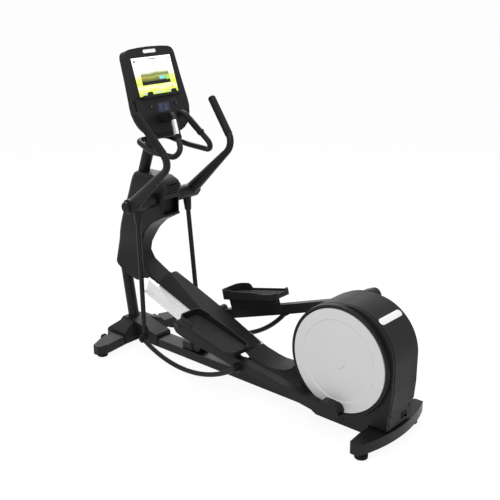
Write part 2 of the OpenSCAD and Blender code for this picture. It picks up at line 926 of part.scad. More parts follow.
// Housing halves, split along the middle of the machine.
ring_in = 284;
ring_out = 302;
rear_round_at = [52, 466];
rear_round_r = rear_reach - 4 - rear_round_at[0];
rear_round_rel = rear_round_at - [0, axis_z];
top_turn = atan2(rear_round_rel[1], rear_round_rel[0]) + acos((ring_out - rear_round_r) / norm(rear_round_rel));
top_way = [cos(top_turn), sin(top_turn)];
tuck = 0.1;

// Side of the housing, drawn inside by g: the disc's ring, a rounder back, the pillar and the skirt.
module drum_outline(g) {
    translate([0, axis_z])
        circle(ring_out - g, $fn = 160);
    translate(rear_round_at)
        circle(rear_round_r - g, $fn = 160);
    polygon([[0, axis_z], [0, axis_z] + (ring_out - g - tuck) * top_way,
        rear_round_at + (rear_round_r - g - tuck) * top_way, rear_round_at]);
    polygon([[0, axis_z], rear_round_at, rear_round_at + [rear_round_r - g - tuck, 0], [313 - g, 317], [305 - g, 221],
        [297 - g, 207], [294 - g, 112 + g], [184 - g, 112 + g], [184 - g, 52 + g], [-150 + g, 52 + g],
        [-240 + g, 98 + g], [-262 + g, 250]]);
}

module housing_half(s) {
    mirror([0, s < 0 ? 1 : 0, 0])
        difference() {
            union() {
                difference() {
                    across(0, 100)
                        drum_outline(0);
                    across(-1, drum_wall)
                        drum_outline(skin);
                }
                across(100, 115)
                    difference() {
                        drum_outline(2);
                        translate([0, axis_z])
                            circle(ring_in + 4, $fn = 160);
                    }
                translate([0, 0, axis_z])
                    rotate([-90, 0, 0])
                        rotate_extrude($fn = 160)
                            polygon([[ring_in, 97], [ring_in, 138], [ring_in + 2, 140], [295, 140], [298, 137],
                                [301, 112], [299, 108], [302, 104], [302, 97]]);
            }
            block([-400, -1, 0], [187, beam_half + 0.4, beam_z + beam_half + 0.4]);
            y_pin(0, axis_z, 36, 50, 120);
        }
}

module housing_left() {
    color([0.13, 0.13, 0.135])
        machine()
            housing_half(-1);
}

module housing_right() {
    color([0.13, 0.13, 0.135])
        machine()
            difference() {
                housing_half(1);
                block([270, 21, 131], [330, 65, 164]);
            }
}

module power_inlet() {
    color([0.08, 0.08, 0.08])
        machine()
            difference() {
                block([272, 21, 131], [300, 65, 164]);
                block([285, 27, 137], [310, 59, 158]);
            }
}

module rear_fairing() {
    color([0.14, 0.14, 0.145])
        machine()
            difference() {
                across(-79.6, 79.6)
                    fairing_side(0);
                across(-79.6 + skin, 79.6 - skin)
                    fairing_side(skin);
                across(-100, 100)
                    drum_outline(-0.4);
                block([-700, -beam_half - 0.4, 0], [0, beam_half + 0.4, beam_z + beam_half + 0.4]);
                block([-690, -60, 90], [-200, 60, beam_z + beam_half + 20]);
                y_pin(ramp_pivot[0], ramp_pivot[1], 74, -100, 100);
            }
}

module fairing_side(g) {
    polygon([[-680 + g, 92], [-680 + g, 243 - g], [-638, 230 - g], [-560, 213 - g],
        [-509, 206 - g], [-458, 208 - g], [-396, 222 - g], [-345, 248 - g], [-318, 282 - g], [-296, 330 - g],
        [-270, 330 - g], [-100, 300], [-100, 92]]);
}

// Rollers and their axles, which slide along the rails.
axle_pin = 9;
bush_r = 13;
roller_face = [84, 104];
arm_in = 148;
arm_out = 198;

module roller_axle(i) {
    color([0.62, 0.62, 0.64])
        hung(rollers[i], 0)
            mirror([0, i == 0 ? 1 : 0, 0]) {
                y_pin(0, 0, axle_pin, 83.4, arm_out + 0.4);
                y_pin(0, 0, 17, arm_out + 0.4, arm_out + 2.6);
                y_pin(0, 0, 15, 108, 146);
            }
}

module roller_axle_left() {
    roller_axle(0);
}

module roller_axle_right() {
    roller_axle(1);
}

module rail_roller(i) {
    color([0.2, 0.2, 0.21])
        hung(rollers[i], 0)
            mirror([0, i == 0 ? 1 : 0, 0])
                rotate([-90, 0, 0])
                    rotate_extrude()
                        polygon([[axle_pin + fit_gap, roller_face[0]], [roller_r - 2, roller_face[0]],
                            [roller_r, roller_face[0] + 2], [roller_r, roller_face[1] - 2],
                            [roller_r - 2, roller_face[1]], [roller_r - 7, roller_face[1]],
                            [roller_r - 9, roller_face[1] - 4], [20, roller_face[1] - 4],
                            [18, roller_face[1]], [axle_pin + fit_gap, roller_face[1]]]);
}

module roller_left() {
    rail_roller(0);
}

module roller_right() {
    rail_roller(1);
}

module axle_bush(i) {
    color([0.7, 0.58, 0.3])
        hung(rollers[i], 0)
            mirror([0, i == 0 ? 1 : 0, 0])
                difference() {
                    y_pin(0, 0, bush_r, arm_in - 1, arm_out);
                    y_pin(0, 0, axle_pin + fit_gap, arm_in - 5, arm_out + 5);
                }
}

module axle_bush_left() {
    axle_bush(0);
}

module axle_bush_right() {
    axle_bush(1);
}

// Pedal arms, drawn about the crank pin with the roller at x = -arm_l.
boss_r = 39;
module pedal_arm(i) {
    color([0.16, 0.16, 0.165])
        hung(pins[i], arm_turns[i])
            mirror([0, i == 0 ? 1 : 0, 0])
                difference() {
                    union() {
                        across(arm_in, arm_out)
                            polygon([[-arm_l - 22, 0], [-arm_l - 26, -20], [-arm_l, -46], [-arm_l + 60, -56],
                                [-joint_u, -58], [-60, -52], [-20, -30], [-20, 0]]);
                        y_pin(-arm_l, 0, 27, arm_in, arm_out);
                        y_pin(0, 0, boss_r, arm_in - 2, arm_out + 4);
                        across(arm_in - 2, arm_out + 4)
                            polygon([[-92, 3], [-78, 27], [-40, 36], [0, boss_r], [0, -boss_r], [-60, -55], [-92, -56]]);
                        y_pin(0, 0, 16, 141.1, arm_in);
                        y_pin(-joint_u, joint_v, 28, arm_out - 10, 200.6);
                    }
                    y_pin(-arm_l, 0, bush_r + fit_gap, arm_in - 5, arm_out + 5);
                    across(arm_in + 3, arm_out - 3)
                        polygon([[-arm_l + 60, -3], [-arm_l + 60, -52], [-joint_u, -54], [-120, -50], [-120, -3]]);
                }
}

module arm_left() {
    pedal_arm(0);
}

module arm_right() {
    pedal_arm(1);
}

// Pedals, standing on the arms with the toes raised.
pedal_l = 415;
pedal_w = 170;
pedal_ahead = 286;
pedal_at = [pedal_ahead - arm_l, 195, 70];
pedal_tilt = 5.5;

module pedal(i) {
    color([0.12, 0.12, 0.12])
        hung(pins[i], arm_turns[i])
            mirror([0, i == 0 ? 1 : 0, 0]) {
                translate(pedal_at)
                    rotate([0, pedal_tilt, 0])
                        difference() {
                            upwards(-16, 42)
                                soft_rect(pedal_l, pedal_w, 38);
                            upwards(0, 50)
                                soft_rect(pedal_l - 14, pedal_w - 14, 32);
                            across(-100, 100)
                                polygon([[-150, 60], [-110, 35], [60, 30], [130, 20], [250, 20], [250, 60]]);
                            across(20, 100)
                                polygon([[-120, 60], [-90, 12], [165, 12], [180, 24], [250, 24], [250, 60]]);
                            across(-40, 40)
                                polygon([[180, 60], [180, 12], [250, 12], [250, 60]]);
                        }
                across(152, arm_out - 4)
                    polygon([[104 - arm_l, 0], [104 - arm_l, 79], [464 - arm_l, 44], [464 - arm_l, 0]]);
            }
}

module pedal_left() {
    pedal(0);
}

module pedal_right() {
    pedal(1);
}

// Handles, drawn about the tower pivot with the lever hanging straight down.
hub_in = 92;
hub_r = 43;
elbow = [363, 267, 287];
grip_top = [162, 322, 556];
grip_r = 23;
tube_r = 20.5;
core_r = 15;
rod_y = 201;
rod_r = 14.5;
root_at = [0, 235, 0];
elbow_bend = 75;
cone_end = bend_start(root_at, elbow, grip_top, elbow_bend);
grip_start = bend_end(root_at, elbow, grip_top, elbow_bend);

module swing_handle(i) {
    color([0.15, 0.15, 0.155])
        hung(lever_pivot, lever_turns[i])
            mirror([0, i == 0 ? 1 : 0, 0])
                difference() {
                    union() {
                        y_pin(0, 0, hub_r, hub_in, 272);
                        translate([0, 272, 0])
                            rotate([-90, 0, 0])
                                cylinder(h = 6, r1 = hub_r, r2 = 36);
                        y_pin(0, 0, 30, 278, 296);
                        rod(root_at, cone_end, 40, tube_r);
                        rod(cone_end, cone_end + bend_lap * unit(elbow - root_at), tube_r, tube_r);
                        elbow_piece(root_at, elbow, grip_top, elbow_bend, tube_r);
                        rod(grip_start - bend_lap * unit(grip_top - elbow), grip_top - 14 * unit(grip_top - elbow), core_r, core_r);
                        rod([0, rod_y, -30], [0, rod_y, -115], 27, 20);
                    }
                    y_pin(0, 0, shaft_r + fit_gap, 80, 277.1);
                    rod([0, rod_y, -64], [0, rod_y, -130], rod_r + fit_gap, rod_r + fit_gap);
                }
}

module handle_left() {
    swing_handle(0);
}

module handle_right() {
    swing_handle(1);
}

module hand_grip(i) {
    d = grip_top - grip_start;
    l = norm(d);
    color([0.08, 0.08, 0.08])
        hung(lever_pivot, lever_turns[i])
            mirror([0, i == 0 ? 1 : 0, 0])
                translate(grip_start)
                    rotate([0, acos(d[2] / l), atan2(d[1], d[0])])
                        rotate_extrude()
                            polygon([[core_r + fit_gap, 0], [grip_r, 0], [grip_r, l - 9], [grip_r - 3, l - 3],
                                [grip_r - 9, l], [0, l], [0, l - 13.9], [core_r + fit_gap, l - 13.9]]);
}

module grip_left() {
    hand_grip(0);
}

module grip_right() {
    hand_grip(1);
}

module lever_rod(i) {
    color([0.15, 0.15, 0.155])
        hung(lever_pivot, lever_turns[i])
            mirror([0, i == 0 ? 1 : 0, 0]) {
                rod([0, rod_y, -66], [0, rod_y, -rod_l + 34], rod_r, rod_r);
                across(187, 200.7)
                    strap([0, -rod_l], [0, -rod_l + 60], 21);
                y_pin(0, -rod_l, link_pin, 190, 229.4);
                y_pin(0, -rod_l, 17, 229.4, 234);
            }
}

// Bush between the lever end and the curved link.
module link_bush(i) {
    color([0.7, 0.58, 0.3])
        hung(lever_feet[i], link_turns[i])
            mirror([0, i == 0 ? 1 : 0, 0])
                difference() {
                    y_pin(0, 0, bush_r, 201.1, 229);
                    y_pin(0, 0, link_pin + fit_gap, 195, 240);
                }
}

module link_bush_left() {
    link_bush(0);
}

module link_bush_right() {
    link_bush(1);
}

module lever_rod_left() {
    lever_rod(0);
}

module lever_rod_right() {
    lever_rod(1);
}

// Curved links, drawn about the lever end with the arm joint at x = link_l.
link_pin = 10;
link_r = 14;
link_y = 215;
link_bow = 114;
link_radius = (link_l * link_l / 4 + link_bow * link_bow) / (2 * link_bow);
link_half = asin(link_l / 2 / link_radius);

module curved_link(i) {
    color([0.15, 0.15, 0.155])
        hung(lever_feet[i], link_turns[i])
            mirror([0, i == 0 ? 1 : 0, 0])
                difference() {
                    union() {
                        translate([link_l / 2, link_y, link_radius - link_bow])
                            rotate([90, 0, 0])
                                rotate([0, 0, 270 - link_half])
                                    rotate_extrude(angle = 2 * link_half, $fn = 120)
                                        translate([link_radius, 0])
                                            circle(link_r, $fn = 48);
                        y_pin(0, 0, 23, 201.1, 229);
                        y_pin(link_l, 0, 26, 201, 229);
                        y_pin(link_l, 0, 19, 229, 236);
                    }
                    y_pin(0, 0, bush_r + fit_gap, 195, 240);
                }
}

module link_left() {
    curved_link(0);
}

module link_right() {
    curved_link(1);
}

main_beam();
front_crossbar();
rear_crossbar();
levelling_feet();
base_fasteners();
hub_cover();
mast();
tower_front_cover();
tower_rear_cover();
pivot_shaft();
fixed_handlebar();
pulse_sensors();
console_back();
console_bezel();
screens();
reading_rack();
name_plates();
lift_drive();
drive_frame();
crank_bearings();
brake_unit();
housing_left();
housing_right();
rear_fairing();
power_inlet();
drive_belt();
wheel_left();
wheel_right();
rail_left();
rail_right();
ramp_frame();
ramp_cover();
lift_nut();
roller_axle_left();
roller_axle_right();
roller_left();
roller_right();
axle_bush_left();
axle_bush_right();
arm_left();
arm_right();
pedal_left();
pedal_right();
handle_left();
handle_right();
grip_left();
grip_right();
lever_rod_left();
lever_rod_right();
link_bush_left();
link_bush_right();
link_left();
link_right();
crank_disc_left();
crank_disc_right();
crankshaft();
crank_pulley();
flywheel();
key_left();
key_right();
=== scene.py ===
"""Looks of a front-ramp elliptical trainer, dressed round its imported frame.

The frame gives every size and place. Each class below dresses one sub-assembly.
"""

from __future__ import annotations

import logging
import math
from collections.abc import Callable, Iterator
from contextlib import contextmanager
from dataclasses import dataclass, field
from enum import Enum
import bmesh  # noqa: E402
import bpy  # noqa: E402
from mathutils import Matrix, Vector  # noqa: E402


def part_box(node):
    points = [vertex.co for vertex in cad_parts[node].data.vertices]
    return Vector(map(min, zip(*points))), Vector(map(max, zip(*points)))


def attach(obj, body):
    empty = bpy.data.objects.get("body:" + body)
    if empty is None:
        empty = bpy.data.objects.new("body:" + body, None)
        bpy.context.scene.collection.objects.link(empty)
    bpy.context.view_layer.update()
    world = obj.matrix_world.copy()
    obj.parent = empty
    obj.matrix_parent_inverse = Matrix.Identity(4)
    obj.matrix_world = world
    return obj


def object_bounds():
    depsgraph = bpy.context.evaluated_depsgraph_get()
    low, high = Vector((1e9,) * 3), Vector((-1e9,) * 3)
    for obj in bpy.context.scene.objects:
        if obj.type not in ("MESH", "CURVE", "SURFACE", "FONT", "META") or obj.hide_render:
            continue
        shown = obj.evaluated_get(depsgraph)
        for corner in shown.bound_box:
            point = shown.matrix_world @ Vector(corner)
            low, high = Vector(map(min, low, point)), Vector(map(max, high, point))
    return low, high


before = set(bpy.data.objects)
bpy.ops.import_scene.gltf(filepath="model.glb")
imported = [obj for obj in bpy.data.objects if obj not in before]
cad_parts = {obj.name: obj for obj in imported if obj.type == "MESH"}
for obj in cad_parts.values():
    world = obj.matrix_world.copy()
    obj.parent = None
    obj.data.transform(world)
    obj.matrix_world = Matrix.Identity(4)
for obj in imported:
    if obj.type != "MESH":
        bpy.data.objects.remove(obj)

CAD_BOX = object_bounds()
LOG = logging.getLogger("trainer")
Colour = tuple[float, float, float]
Point = tuple[float, float, float]
Shaded = bpy.types.Material | bpy.types.World
PART = Matrix.Identity(4)
PER_METRE = 1000
NOISE_LOW, NOISE_HIGH = 0.3, 0.7
GRAIN_DETAIL = 3.0
PATCH_SCALE, PATCH_DETAIL, PATCH_SHARE = 5.0, 5.0, 0.4
BRUSH_STRETCH = (0.04, 1.0, 1.0)
COAT_ROUGHNESS = 0.12
ROUGHNESS_DROP, ROUGHNESS_RISE, LEAST_ROUGHNESS = 0.06, 0.07, 0.03
RELIEF_HEIGHT = 0.0006
CELL_SHARE = 0.6
FACING = 0.99
SHADE_ANGLE = 40
SHARP_ANGLE = 50
KNOB_SIDES = 24
FACE_DEPTH = 0.0008
SCREEN_ROUGHNESS = 0.25


class Side(Enum):
    """The rider's left and right, as the sign of Y."""

    LEFT = -1
    RIGHT = 1

    @property
    def word(self) -> str:
        """The side's name in node and body names."""
        return self.name.lower()


class Surface(Enum):
    """How a finish is textured."""

    MOULDED = "moulded plastic grain"
    POWDER = "powder coat"
    BRUSHED = "brushed metal"
    RUBBER = "moulded rubber"
    GLOSS = "gloss"


def linear(level: float) -> float:
    """Turn a display level from 0 to 255 into a linear one.

    Args:
        level: The display level.

    Returns:
        The linear level, from 0 to 1.
    """
    share = level / 255
    return share / 12.92 if share <= 0.04045 else ((share + 0.055) / 1.055) ** 2.4


def grey(level: float, tint: float = 0.0) -> Colour:
    """A linear grey with a slight cool tint.

    Args:
        level: The display level, 0 to 255.
        tint: How much bluer the grey is, as a share.

    Returns:
        The linear colour.
    """
    value = linear(level)
    return (value, value, value * (1 + tint))


def add_node(made: Shaded, kind: str, values: dict[str | int, object] | None = None,
             operation: str = "") -> bpy.types.Node:
    """Add a shader node.

    Args:
        made: The material or world that it belongs to.
        kind: Its kind.
        values: The values of its sockets, by name or number.
        operation: Its operation, where it has one.

    Returns:
        The node.
    """
    node = made.node_tree.nodes.new(f"ShaderNode{kind}")
    if operation:
        node.operation = operation
    for socket, value in (values or {}).items():
        node.inputs[socket].default_value = value
    return node


@dataclass(frozen=True)
class Layers:
    """What the colour, the shine and the relief of a finish are built on.

    Attributes:
        made: The material.
        shader: Its shader.
        place: The place on the piece.
        stretched: The same, drawn out along a brushed surface.
        fine: The grain.
        broad: The broad patches.
    """

    made: bpy.types.Material
    shader: bpy.types.Node
    place: bpy.types.NodeSocket
    stretched: bpy.types.NodeSocket
    fine: bpy.types.NodeSocket
    broad: bpy.types.NodeSocket


@dataclass(frozen=True)
class Finish:
    """One finish of the machine, as a procedural material on Object coordinates.

    Attributes:
        name: The material's name.
        colour: The linear base colour.
        surface: How it is textured.
        roughness: The middle roughness.
        metallic: 1 for bare metal.
        grain: The grain's frequency, in cycles a metre.
        relief: The grain's bump strength.
        mottle: How far the colour strays from its middle, as a share.
        coat: The clear coat's weight.
        gleam: The level of its mirror reflection, where 0.5 is common plastic.
        pocket_shade_box: Two corners, in metres, of a box in which the finish is painted black, as painted shade deep
            in a pocket.
    """

    name: str
    colour: Colour
    surface: Surface
    roughness: float = 0.45
    metallic: float = 0.0
    grain: float = 900.0
    relief: float = 0.12
    mottle: float = 0.12
    coat: float = 0.0
    gleam: float = 0.18
    # Painted shade: a box where the colour is painted black to stand for the shade deep in a pocket.
    pocket_shade_box: tuple[Point, Point] | None = None

    def material(self) -> bpy.types.Material:
        """Build the finish once, and give the same material after that.

        Returns:
            The material.
        """
        known = bpy.data.materials.get(self.name)
        if known:
            return known
        made = bpy.data.materials.new(self.name)
        made.use_nodes = True
        links = made.node_tree.links
        shader = made.node_tree.nodes["Principled BSDF"]
        for socket, value in (("Metallic", self.metallic), ("Coat Weight", self.coat),
                              ("Specular IOR Level", self.gleam), ("Coat Roughness", COAT_ROUGHNESS)):
            shader.inputs[socket].default_value = value
        place = add_node(made, "TexCoord").outputs["Object"]
        stretch = add_node(made, "Mapping")
        if self.surface is Surface.BRUSHED:
            stretch.inputs["Scale"].default_value = BRUSH_STRETCH
        fine = add_node(made, "TexNoise", {"Scale": self.grain, "Detail": GRAIN_DETAIL})
        broad = add_node(made, "TexNoise", {"Scale": PATCH_SCALE, "Detail": PATCH_DETAIL})
        for output, node in ((place, stretch), (stretch.outputs["Vector"], fine), (place, broad)):
            links.new(output, node.inputs["Vector"])
        layers = Layers(made, shader, place, stretch.outputs["Vector"], fine.outputs["Fac"], broad.outputs["Fac"])
        self._tint(layers)
        self._shine(layers)
        self._relief(layers)
        return made

    def _tint(self, layers: Layers) -> None:
        """Vary the colour a little with the grain and with broad patches.

        Args:
            layers: What it is built on.
        """
        links = layers.made.node_tree.links
        both = add_node(layers.made, "Mix", {"Factor": PATCH_SHARE})
        links.new(layers.fine, both.inputs["A"])
        links.new(layers.broad, both.inputs["B"])
        ramp = add_node(layers.made, "ValToRGB")
        for element, position, way in zip(ramp.color_ramp.elements, (NOISE_LOW, NOISE_HIGH), (-1, 1)):
            element.position = position
            element.color = (*(min(1.0, level * (1 + way * self.mottle)) for level in self.colour), 1)
        links.new(both.outputs["Result"], ramp.inputs["Fac"])
        # The colour passes through the painted pocket shade before it reaches the shader.
        links.new(self._paint_pocket_shade(layers, ramp.outputs["Color"]), layers.shader.inputs["Base Color"])

    def _paint_pocket_shade(self, layers: Layers, colour: bpy.types.NodeSocket) -> bpy.types.NodeSocket:
        """Paint shade: blacken a colour inside a box, where the finish has one, as painted shade deep in a pocket.

        Args:
            layers: What it is built on.
            colour: The colour's output.

        Returns:
            The output to feed to the shader.
        """
        if self.pocket_shade_box is None:
            return colour
        made, links = layers.made, layers.made.node_tree.links
        low, high = (Vector(corner) for corner in self.pocket_shade_box)
        offset = add_node(made, "VectorMath", {1: (low + high) / 2}, "SUBTRACT")
        links.new(layers.place, offset.inputs[0])
        size = add_node(made, "VectorMath", operation="ABSOLUTE")
        links.new(offset.outputs["Vector"], size.inputs[0])
        depth = add_node(made, "VectorMath", {0: (high - low) / 2}, "SUBTRACT")
        links.new(size.outputs["Vector"], depth.inputs[1])
        depths = add_node(made, "SeparateXYZ")
        links.new(depth.outputs["Vector"], depths.inputs["Vector"])
        least = depths.outputs["X"]
        for axis in ("Y", "Z"):
            smaller = add_node(made, "Math", operation="MINIMUM")
            links.new(least, smaller.inputs[0])
            links.new(depths.outputs[axis], smaller.inputs[1])
            least = smaller.outputs["Value"]
        outside = add_node(made, "Math", {1: 0.0}, "LESS_THAN")
        links.new(least, outside.inputs[0])
        scaled = add_node(made, "VectorMath", operation="SCALE")
        links.new(colour, scaled.inputs[0])
        links.new(outside.outputs["Value"], scaled.inputs["Scale"])
        return scaled.outputs["Vector"]

    def _shine(self, layers: Layers) -> None:
        """Vary the roughness with broad patches, as handling and dust do.

        Args:
            layers: What it is built on.
        """
        links = layers.made.node_tree.links
        spread = add_node(layers.made, "MapRange", {
            "From Min": NOISE_LOW, "From Max": NOISE_HIGH,
            "To Min": max(LEAST_ROUGHNESS, self.roughness - ROUGHNESS_DROP),
            "To Max": min(1.0, self.roughness + ROUGHNESS_RISE)})
        source = layers.fine if self.surface is Surface.BRUSHED else layers.broad
        links.new(source, spread.inputs["Value"])
        links.new(spread.outputs["Result"], layers.shader.inputs["Roughness"])

    def _relief(self, layers: Layers) -> None:
        """Raise the grain, as cells for moulded plastic and as noise elsewhere.

        Args:
            layers: What it is built on.
        """
        if self.relief <= 0:
            return
        links = layers.made.node_tree.links
        bump = add_node(layers.made, "Bump", {"Strength": self.relief, "Distance": RELIEF_HEIGHT})
        height = layers.fine
        if self.surface in (Surface.MOULDED, Surface.RUBBER):
            cells = add_node(layers.made, "TexVoronoi", {"Scale": self.grain * CELL_SHARE})
            links.new(layers.stretched, cells.inputs["Vector"])
            height = cells.outputs["Distance"]
        links.new(height, bump.inputs["Height"])
        links.new(bump.outputs["Normal"], layers.shader.inputs["Normal"])


def lit_finish(name: str, colour: Colour, mottle: float = 0.02) -> Finish:
    """A smooth and nearly even finish, for what a screen shows.

    Args:
        name: The material's name.
        colour: The linear colour.
        mottle: How far the colour strays, as a share.

    Returns:
        The finish.
    """
    return Finish(name, colour, Surface.GLOSS, SCREEN_ROUGHNESS, relief=0.0, mottle=mottle)


FRAME_PAINT = Finish("frame_powder_coat", grey(24, 0.05), Surface.POWDER, 0.38, grain=700, relief=0.08)
SHELL = Finish("shell_moulding", grey(24, 0.04), Surface.MOULDED, 0.5, grain=1100, relief=0.14)
SHELL_DARK = Finish("shell_moulding_dark", grey(19, 0.03), Surface.MOULDED, 0.45, grain=1100, relief=0.12)
# The tower's rear moulding, with a box painted black as painted shade deep in a pocket of the cover.
TOWER_REAR_WITH_POCKET_SHADE = Finish("tower_rear_moulding", grey(19, 0.03), Surface.MOULDED, 0.45, grain=1100, relief=0.12,
                    pocket_shade_box=((-0.6225, -0.0585, 0.9175), (-0.549, 0.0585, 1.0085)))
BEZEL = Finish("console_bezel_moulding", grey(23, 0.03), Surface.MOULDED, 0.4, grain=1300, relief=0.08)
LEVER = Finish("lever_powder_coat", grey(24, 0.04), Surface.POWDER, 0.4, grain=700, relief=0.06)
PEDAL = Finish("pedal_moulding", grey(24, 0.03), Surface.MOULDED, 0.6, grain=800, relief=0.25)
RUBBER = Finish("soft_rubber", grey(20), Surface.RUBBER, 0.75, grain=700, relief=0.3)
DISC = Finish("crank_disc_moulding", grey(205, 0.01), Surface.MOULDED, 0.42, grain=1200, relief=0.05, mottle=0.03)
RAIL = Finish("rail_anodising", grey(240, 0.01), Surface.BRUSHED, 0.35, 0.3, grain=1500, relief=0.04, mottle=0.04)
STEEL = Finish("turned_steel", grey(180), Surface.BRUSHED, 0.3, 1.0, grain=1500, relief=0.04, mottle=0.06)
BRONZE = Finish("bearing_bronze", (0.35, 0.22, 0.08), Surface.BRUSHED, 0.35, 1.0, grain=1200, relief=0.05)
SENSOR = Finish("sensor_steel", grey(182), Surface.BRUSHED, 0.28, 0.7, grain=1600, relief=0.03, mottle=0.04)
BADGE = Finish("badge_silver", grey(238), Surface.BRUSHED, 0.35, 0.25, grain=1600, relief=0.03, mottle=0.04)
GLASS = Finish("cover_glass", grey(16, 0.1), Surface.GLOSS, 0.08, relief=0.0, mottle=0.1, coat=0.6)
KEY_CAP = Finish("key_cap_moulding", grey(58, 0.04), Surface.MOULDED, 0.4, grain=1400, relief=0.05)
PLAIN_PAGE = lit_finish("screen_page_white", grey(250), 0.0)
SCREEN_WHITE = lit_finish("screen_white", grey(240))
SCREEN_PALE = lit_finish("screen_pale", grey(205))
SCREEN_GREY = lit_finish("screen_grey", grey(120))
SCREEN_DARK = lit_finish("screen_dark", grey(32))
SCREEN_BLUE = lit_finish("screen_blue", (0.18, 0.32, 0.75))
SCREEN_CYAN = lit_finish("screen_cyan", (0.3, 0.75, 0.8))
SCREEN_GREEN = lit_finish("screen_green", (0.4, 0.8, 0.12))
DISPLAY_BLUE = Finish("display_blue", (0.012, 0.022, 0.06), Surface.GLOSS, 0.15, relief=0.0, mottle=0.1, coat=0.4)
DISPLAY_MARK = lit_finish("display_mark", (0.16, 0.24, 0.5))
PAGE_STOPS = ((0.0, (0.42, 0.62, 0.05)), (0.12, (0.62, 0.8, 0.1)), (0.2, (0.8, 0.85, 0.45)),
              (0.3, (0.5, 0.72, 0.05)), (0.46, (0.75, 0.85, 0.2)), (0.62, (0.95, 0.96, 0.95)))
HILL_STOPS = ((0.0, (0.05, 0.05, 0.01)), (0.22, (0.14, 0.16, 0.02)), (0.4, (0.3, 0.31, 0.04)),
              (0.55, (0.1, 0.12, 0.03)), (0.7, (0.36, 0.4, 0.2)), (0.88, (0.8, 0.85, 0.85)))
PAD = Finish("pedal_pad_rubber", grey(30), Surface.RUBBER, 0.7, grain=900, relief=0.25)
SCREW = Finish("black_oxide_steel", grey(52), Surface.POWDER, 0.35, 0.6, grain=900, relief=0.05)
MOTOR = Finish("motor_enamel", grey(34), Surface.POWDER, 0.4, grain=500, relief=0.1)

NODE_FINISH: dict[str, Finish] = {
    "main_beam": FRAME_PAINT, "front_crossbar": FRAME_PAINT, "rear_crossbar": FRAME_PAINT, "mast": FRAME_PAINT,
    "ramp_frame": FRAME_PAINT, "drive_frame": FRAME_PAINT, "hub_cover": SHELL, "tower_front_cover": SHELL,
    "tower_rear_cover": TOWER_REAR_WITH_POCKET_SHADE, "console_back": SHELL, "housing": SHELL, "rear_fairing": SHELL,
    "ramp_cover": SHELL, "console_bezel": BEZEL, "reading_rack": SHELL_DARK, "power_inlet": SHELL_DARK,
    "key": BEZEL, "handle": LEVER, "lever_rod": LEVER, "link": LEVER, "arm": LEVER, "fixed_handlebar": LEVER,
    "pedal": PEDAL, "levelling_feet": RUBBER, "grip": RUBBER, "drive_belt": RUBBER, "wheel": RUBBER,
    "roller": PEDAL, "base_fasteners": STEEL, "pivot_shaft": STEEL, "crank_bearings": STEEL,
    "roller_axle": SCREW, "crankshaft": STEEL, "flywheel": STEEL, "crank_pulley": STEEL, "lift_nut": BRONZE,
    "axle_bush": BRONZE, "link_bush": BRONZE, "rail": RAIL, "crank_disc": DISC, "pulse_sensors": SENSOR,
    "name_plates": BADGE, "screens": GLASS, "lift_drive": MOTOR, "brake_unit": MOTOR,
}


def clear_selection() -> None:
    """Go back to object mode with nothing selected."""
    if bpy.context.object and bpy.context.object.mode != "OBJECT":
        bpy.ops.object.mode_set(mode="OBJECT")
    bpy.ops.object.select_all(action="DESELECT")


def only(piece: bpy.types.Object) -> None:
    """Select one object and make it active.

    Args:
        piece: The object.
    """
    clear_selection()
    piece.select_set(True)
    bpy.context.view_layer.objects.active = piece


def settle(piece: bpy.types.Object) -> None:
    """Put a piece's place, turn and scale into its mesh.

    Args:
        piece: The piece.
    """
    only(piece)
    bpy.ops.object.transform_apply(location=True, rotation=True, scale=True)


@contextmanager
def editing(piece: bpy.types.Object) -> Iterator[None]:
    """Stay in edit mode on one piece.

    Args:
        piece: The piece.

    Yields:
        Nothing.
    """
    only(piece)
    bpy.ops.object.mode_set(mode="EDIT")
    yield
    bpy.ops.object.mode_set(mode="OBJECT")


def soften(piece: bpy.types.Object, width: float, steps: int = 3, angle: float = 30) -> None:
    """Round a piece's sharp edges and smooth its shading.

    Args:
        piece: The piece, with its place already in its mesh.
        width: The round's width, in metres.
        steps: Segments in the round.
        angle: Edges sharper than this are rounded, in degrees.
    """
    only(piece)
    rounding = piece.modifiers.new("edges", "BEVEL")
    rounding.width = width
    rounding.segments = steps
    rounding.limit_method = "ANGLE"
    rounding.angle_limit = math.radians(angle)
    rounding.harden_normals = False
    bpy.ops.object.modifier_apply(modifier=rounding.name)
    bpy.ops.object.shade_smooth_by_angle(angle=math.radians(SHADE_ANGLE))


def dress(piece: bpy.types.Object, finish: Finish, body: str) -> bpy.types.Object:
    """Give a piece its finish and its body.

    Args:
        piece: The piece.
        finish: The finish.
        body: The CAD body that it moves with.

    Returns:
        The piece.
    """
    piece.data.materials.clear()
    piece.data.materials.append(finish.material())
    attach(piece, body)
    return piece


def add_block(name: str, low: Point, high: Point, place: Matrix = PART) -> bpy.types.Object:
    """Add a box between two corners.

    Args:
        name: The piece's name.
        low: The lowest corner.
        high: The highest corner.
        place: The frame that the corners are given in.

    Returns:
        The box, with its place in its mesh.
    """
    clear_selection()
    a, b = Vector(low), Vector(high)
    bpy.ops.mesh.primitive_cube_add(size=1, location=place @ ((a + b) / 2), rotation=place.to_euler())
    piece = bpy.context.object
    piece.name = name
    piece.scale = b - a
    settle(piece)
    return piece


def add_round(name: str, start: Point, end: Point, radius: float, sides: int = 48,
              place: Matrix = PART) -> bpy.types.Object:
    """Add a cylinder between two points.

    Args:
        name: The piece's name.
        start: The middle of one end.
        end: The middle of the other end.
        radius: Its radius.
        sides: Sides round it.
        place: The frame that the points are given in.

    Returns:
        The cylinder, with its place in its mesh.
    """
    clear_selection()
    a, b = place @ Vector(start), place @ Vector(end)
    turn = (b - a).to_track_quat("Z", "Y").to_euler()
    bpy.ops.mesh.primitive_cylinder_add(vertices=sides, radius=radius, depth=(b - a).length,
                                        location=(a + b) / 2, rotation=turn)
    piece = bpy.context.object
    piece.name = name
    settle(piece)
    return piece


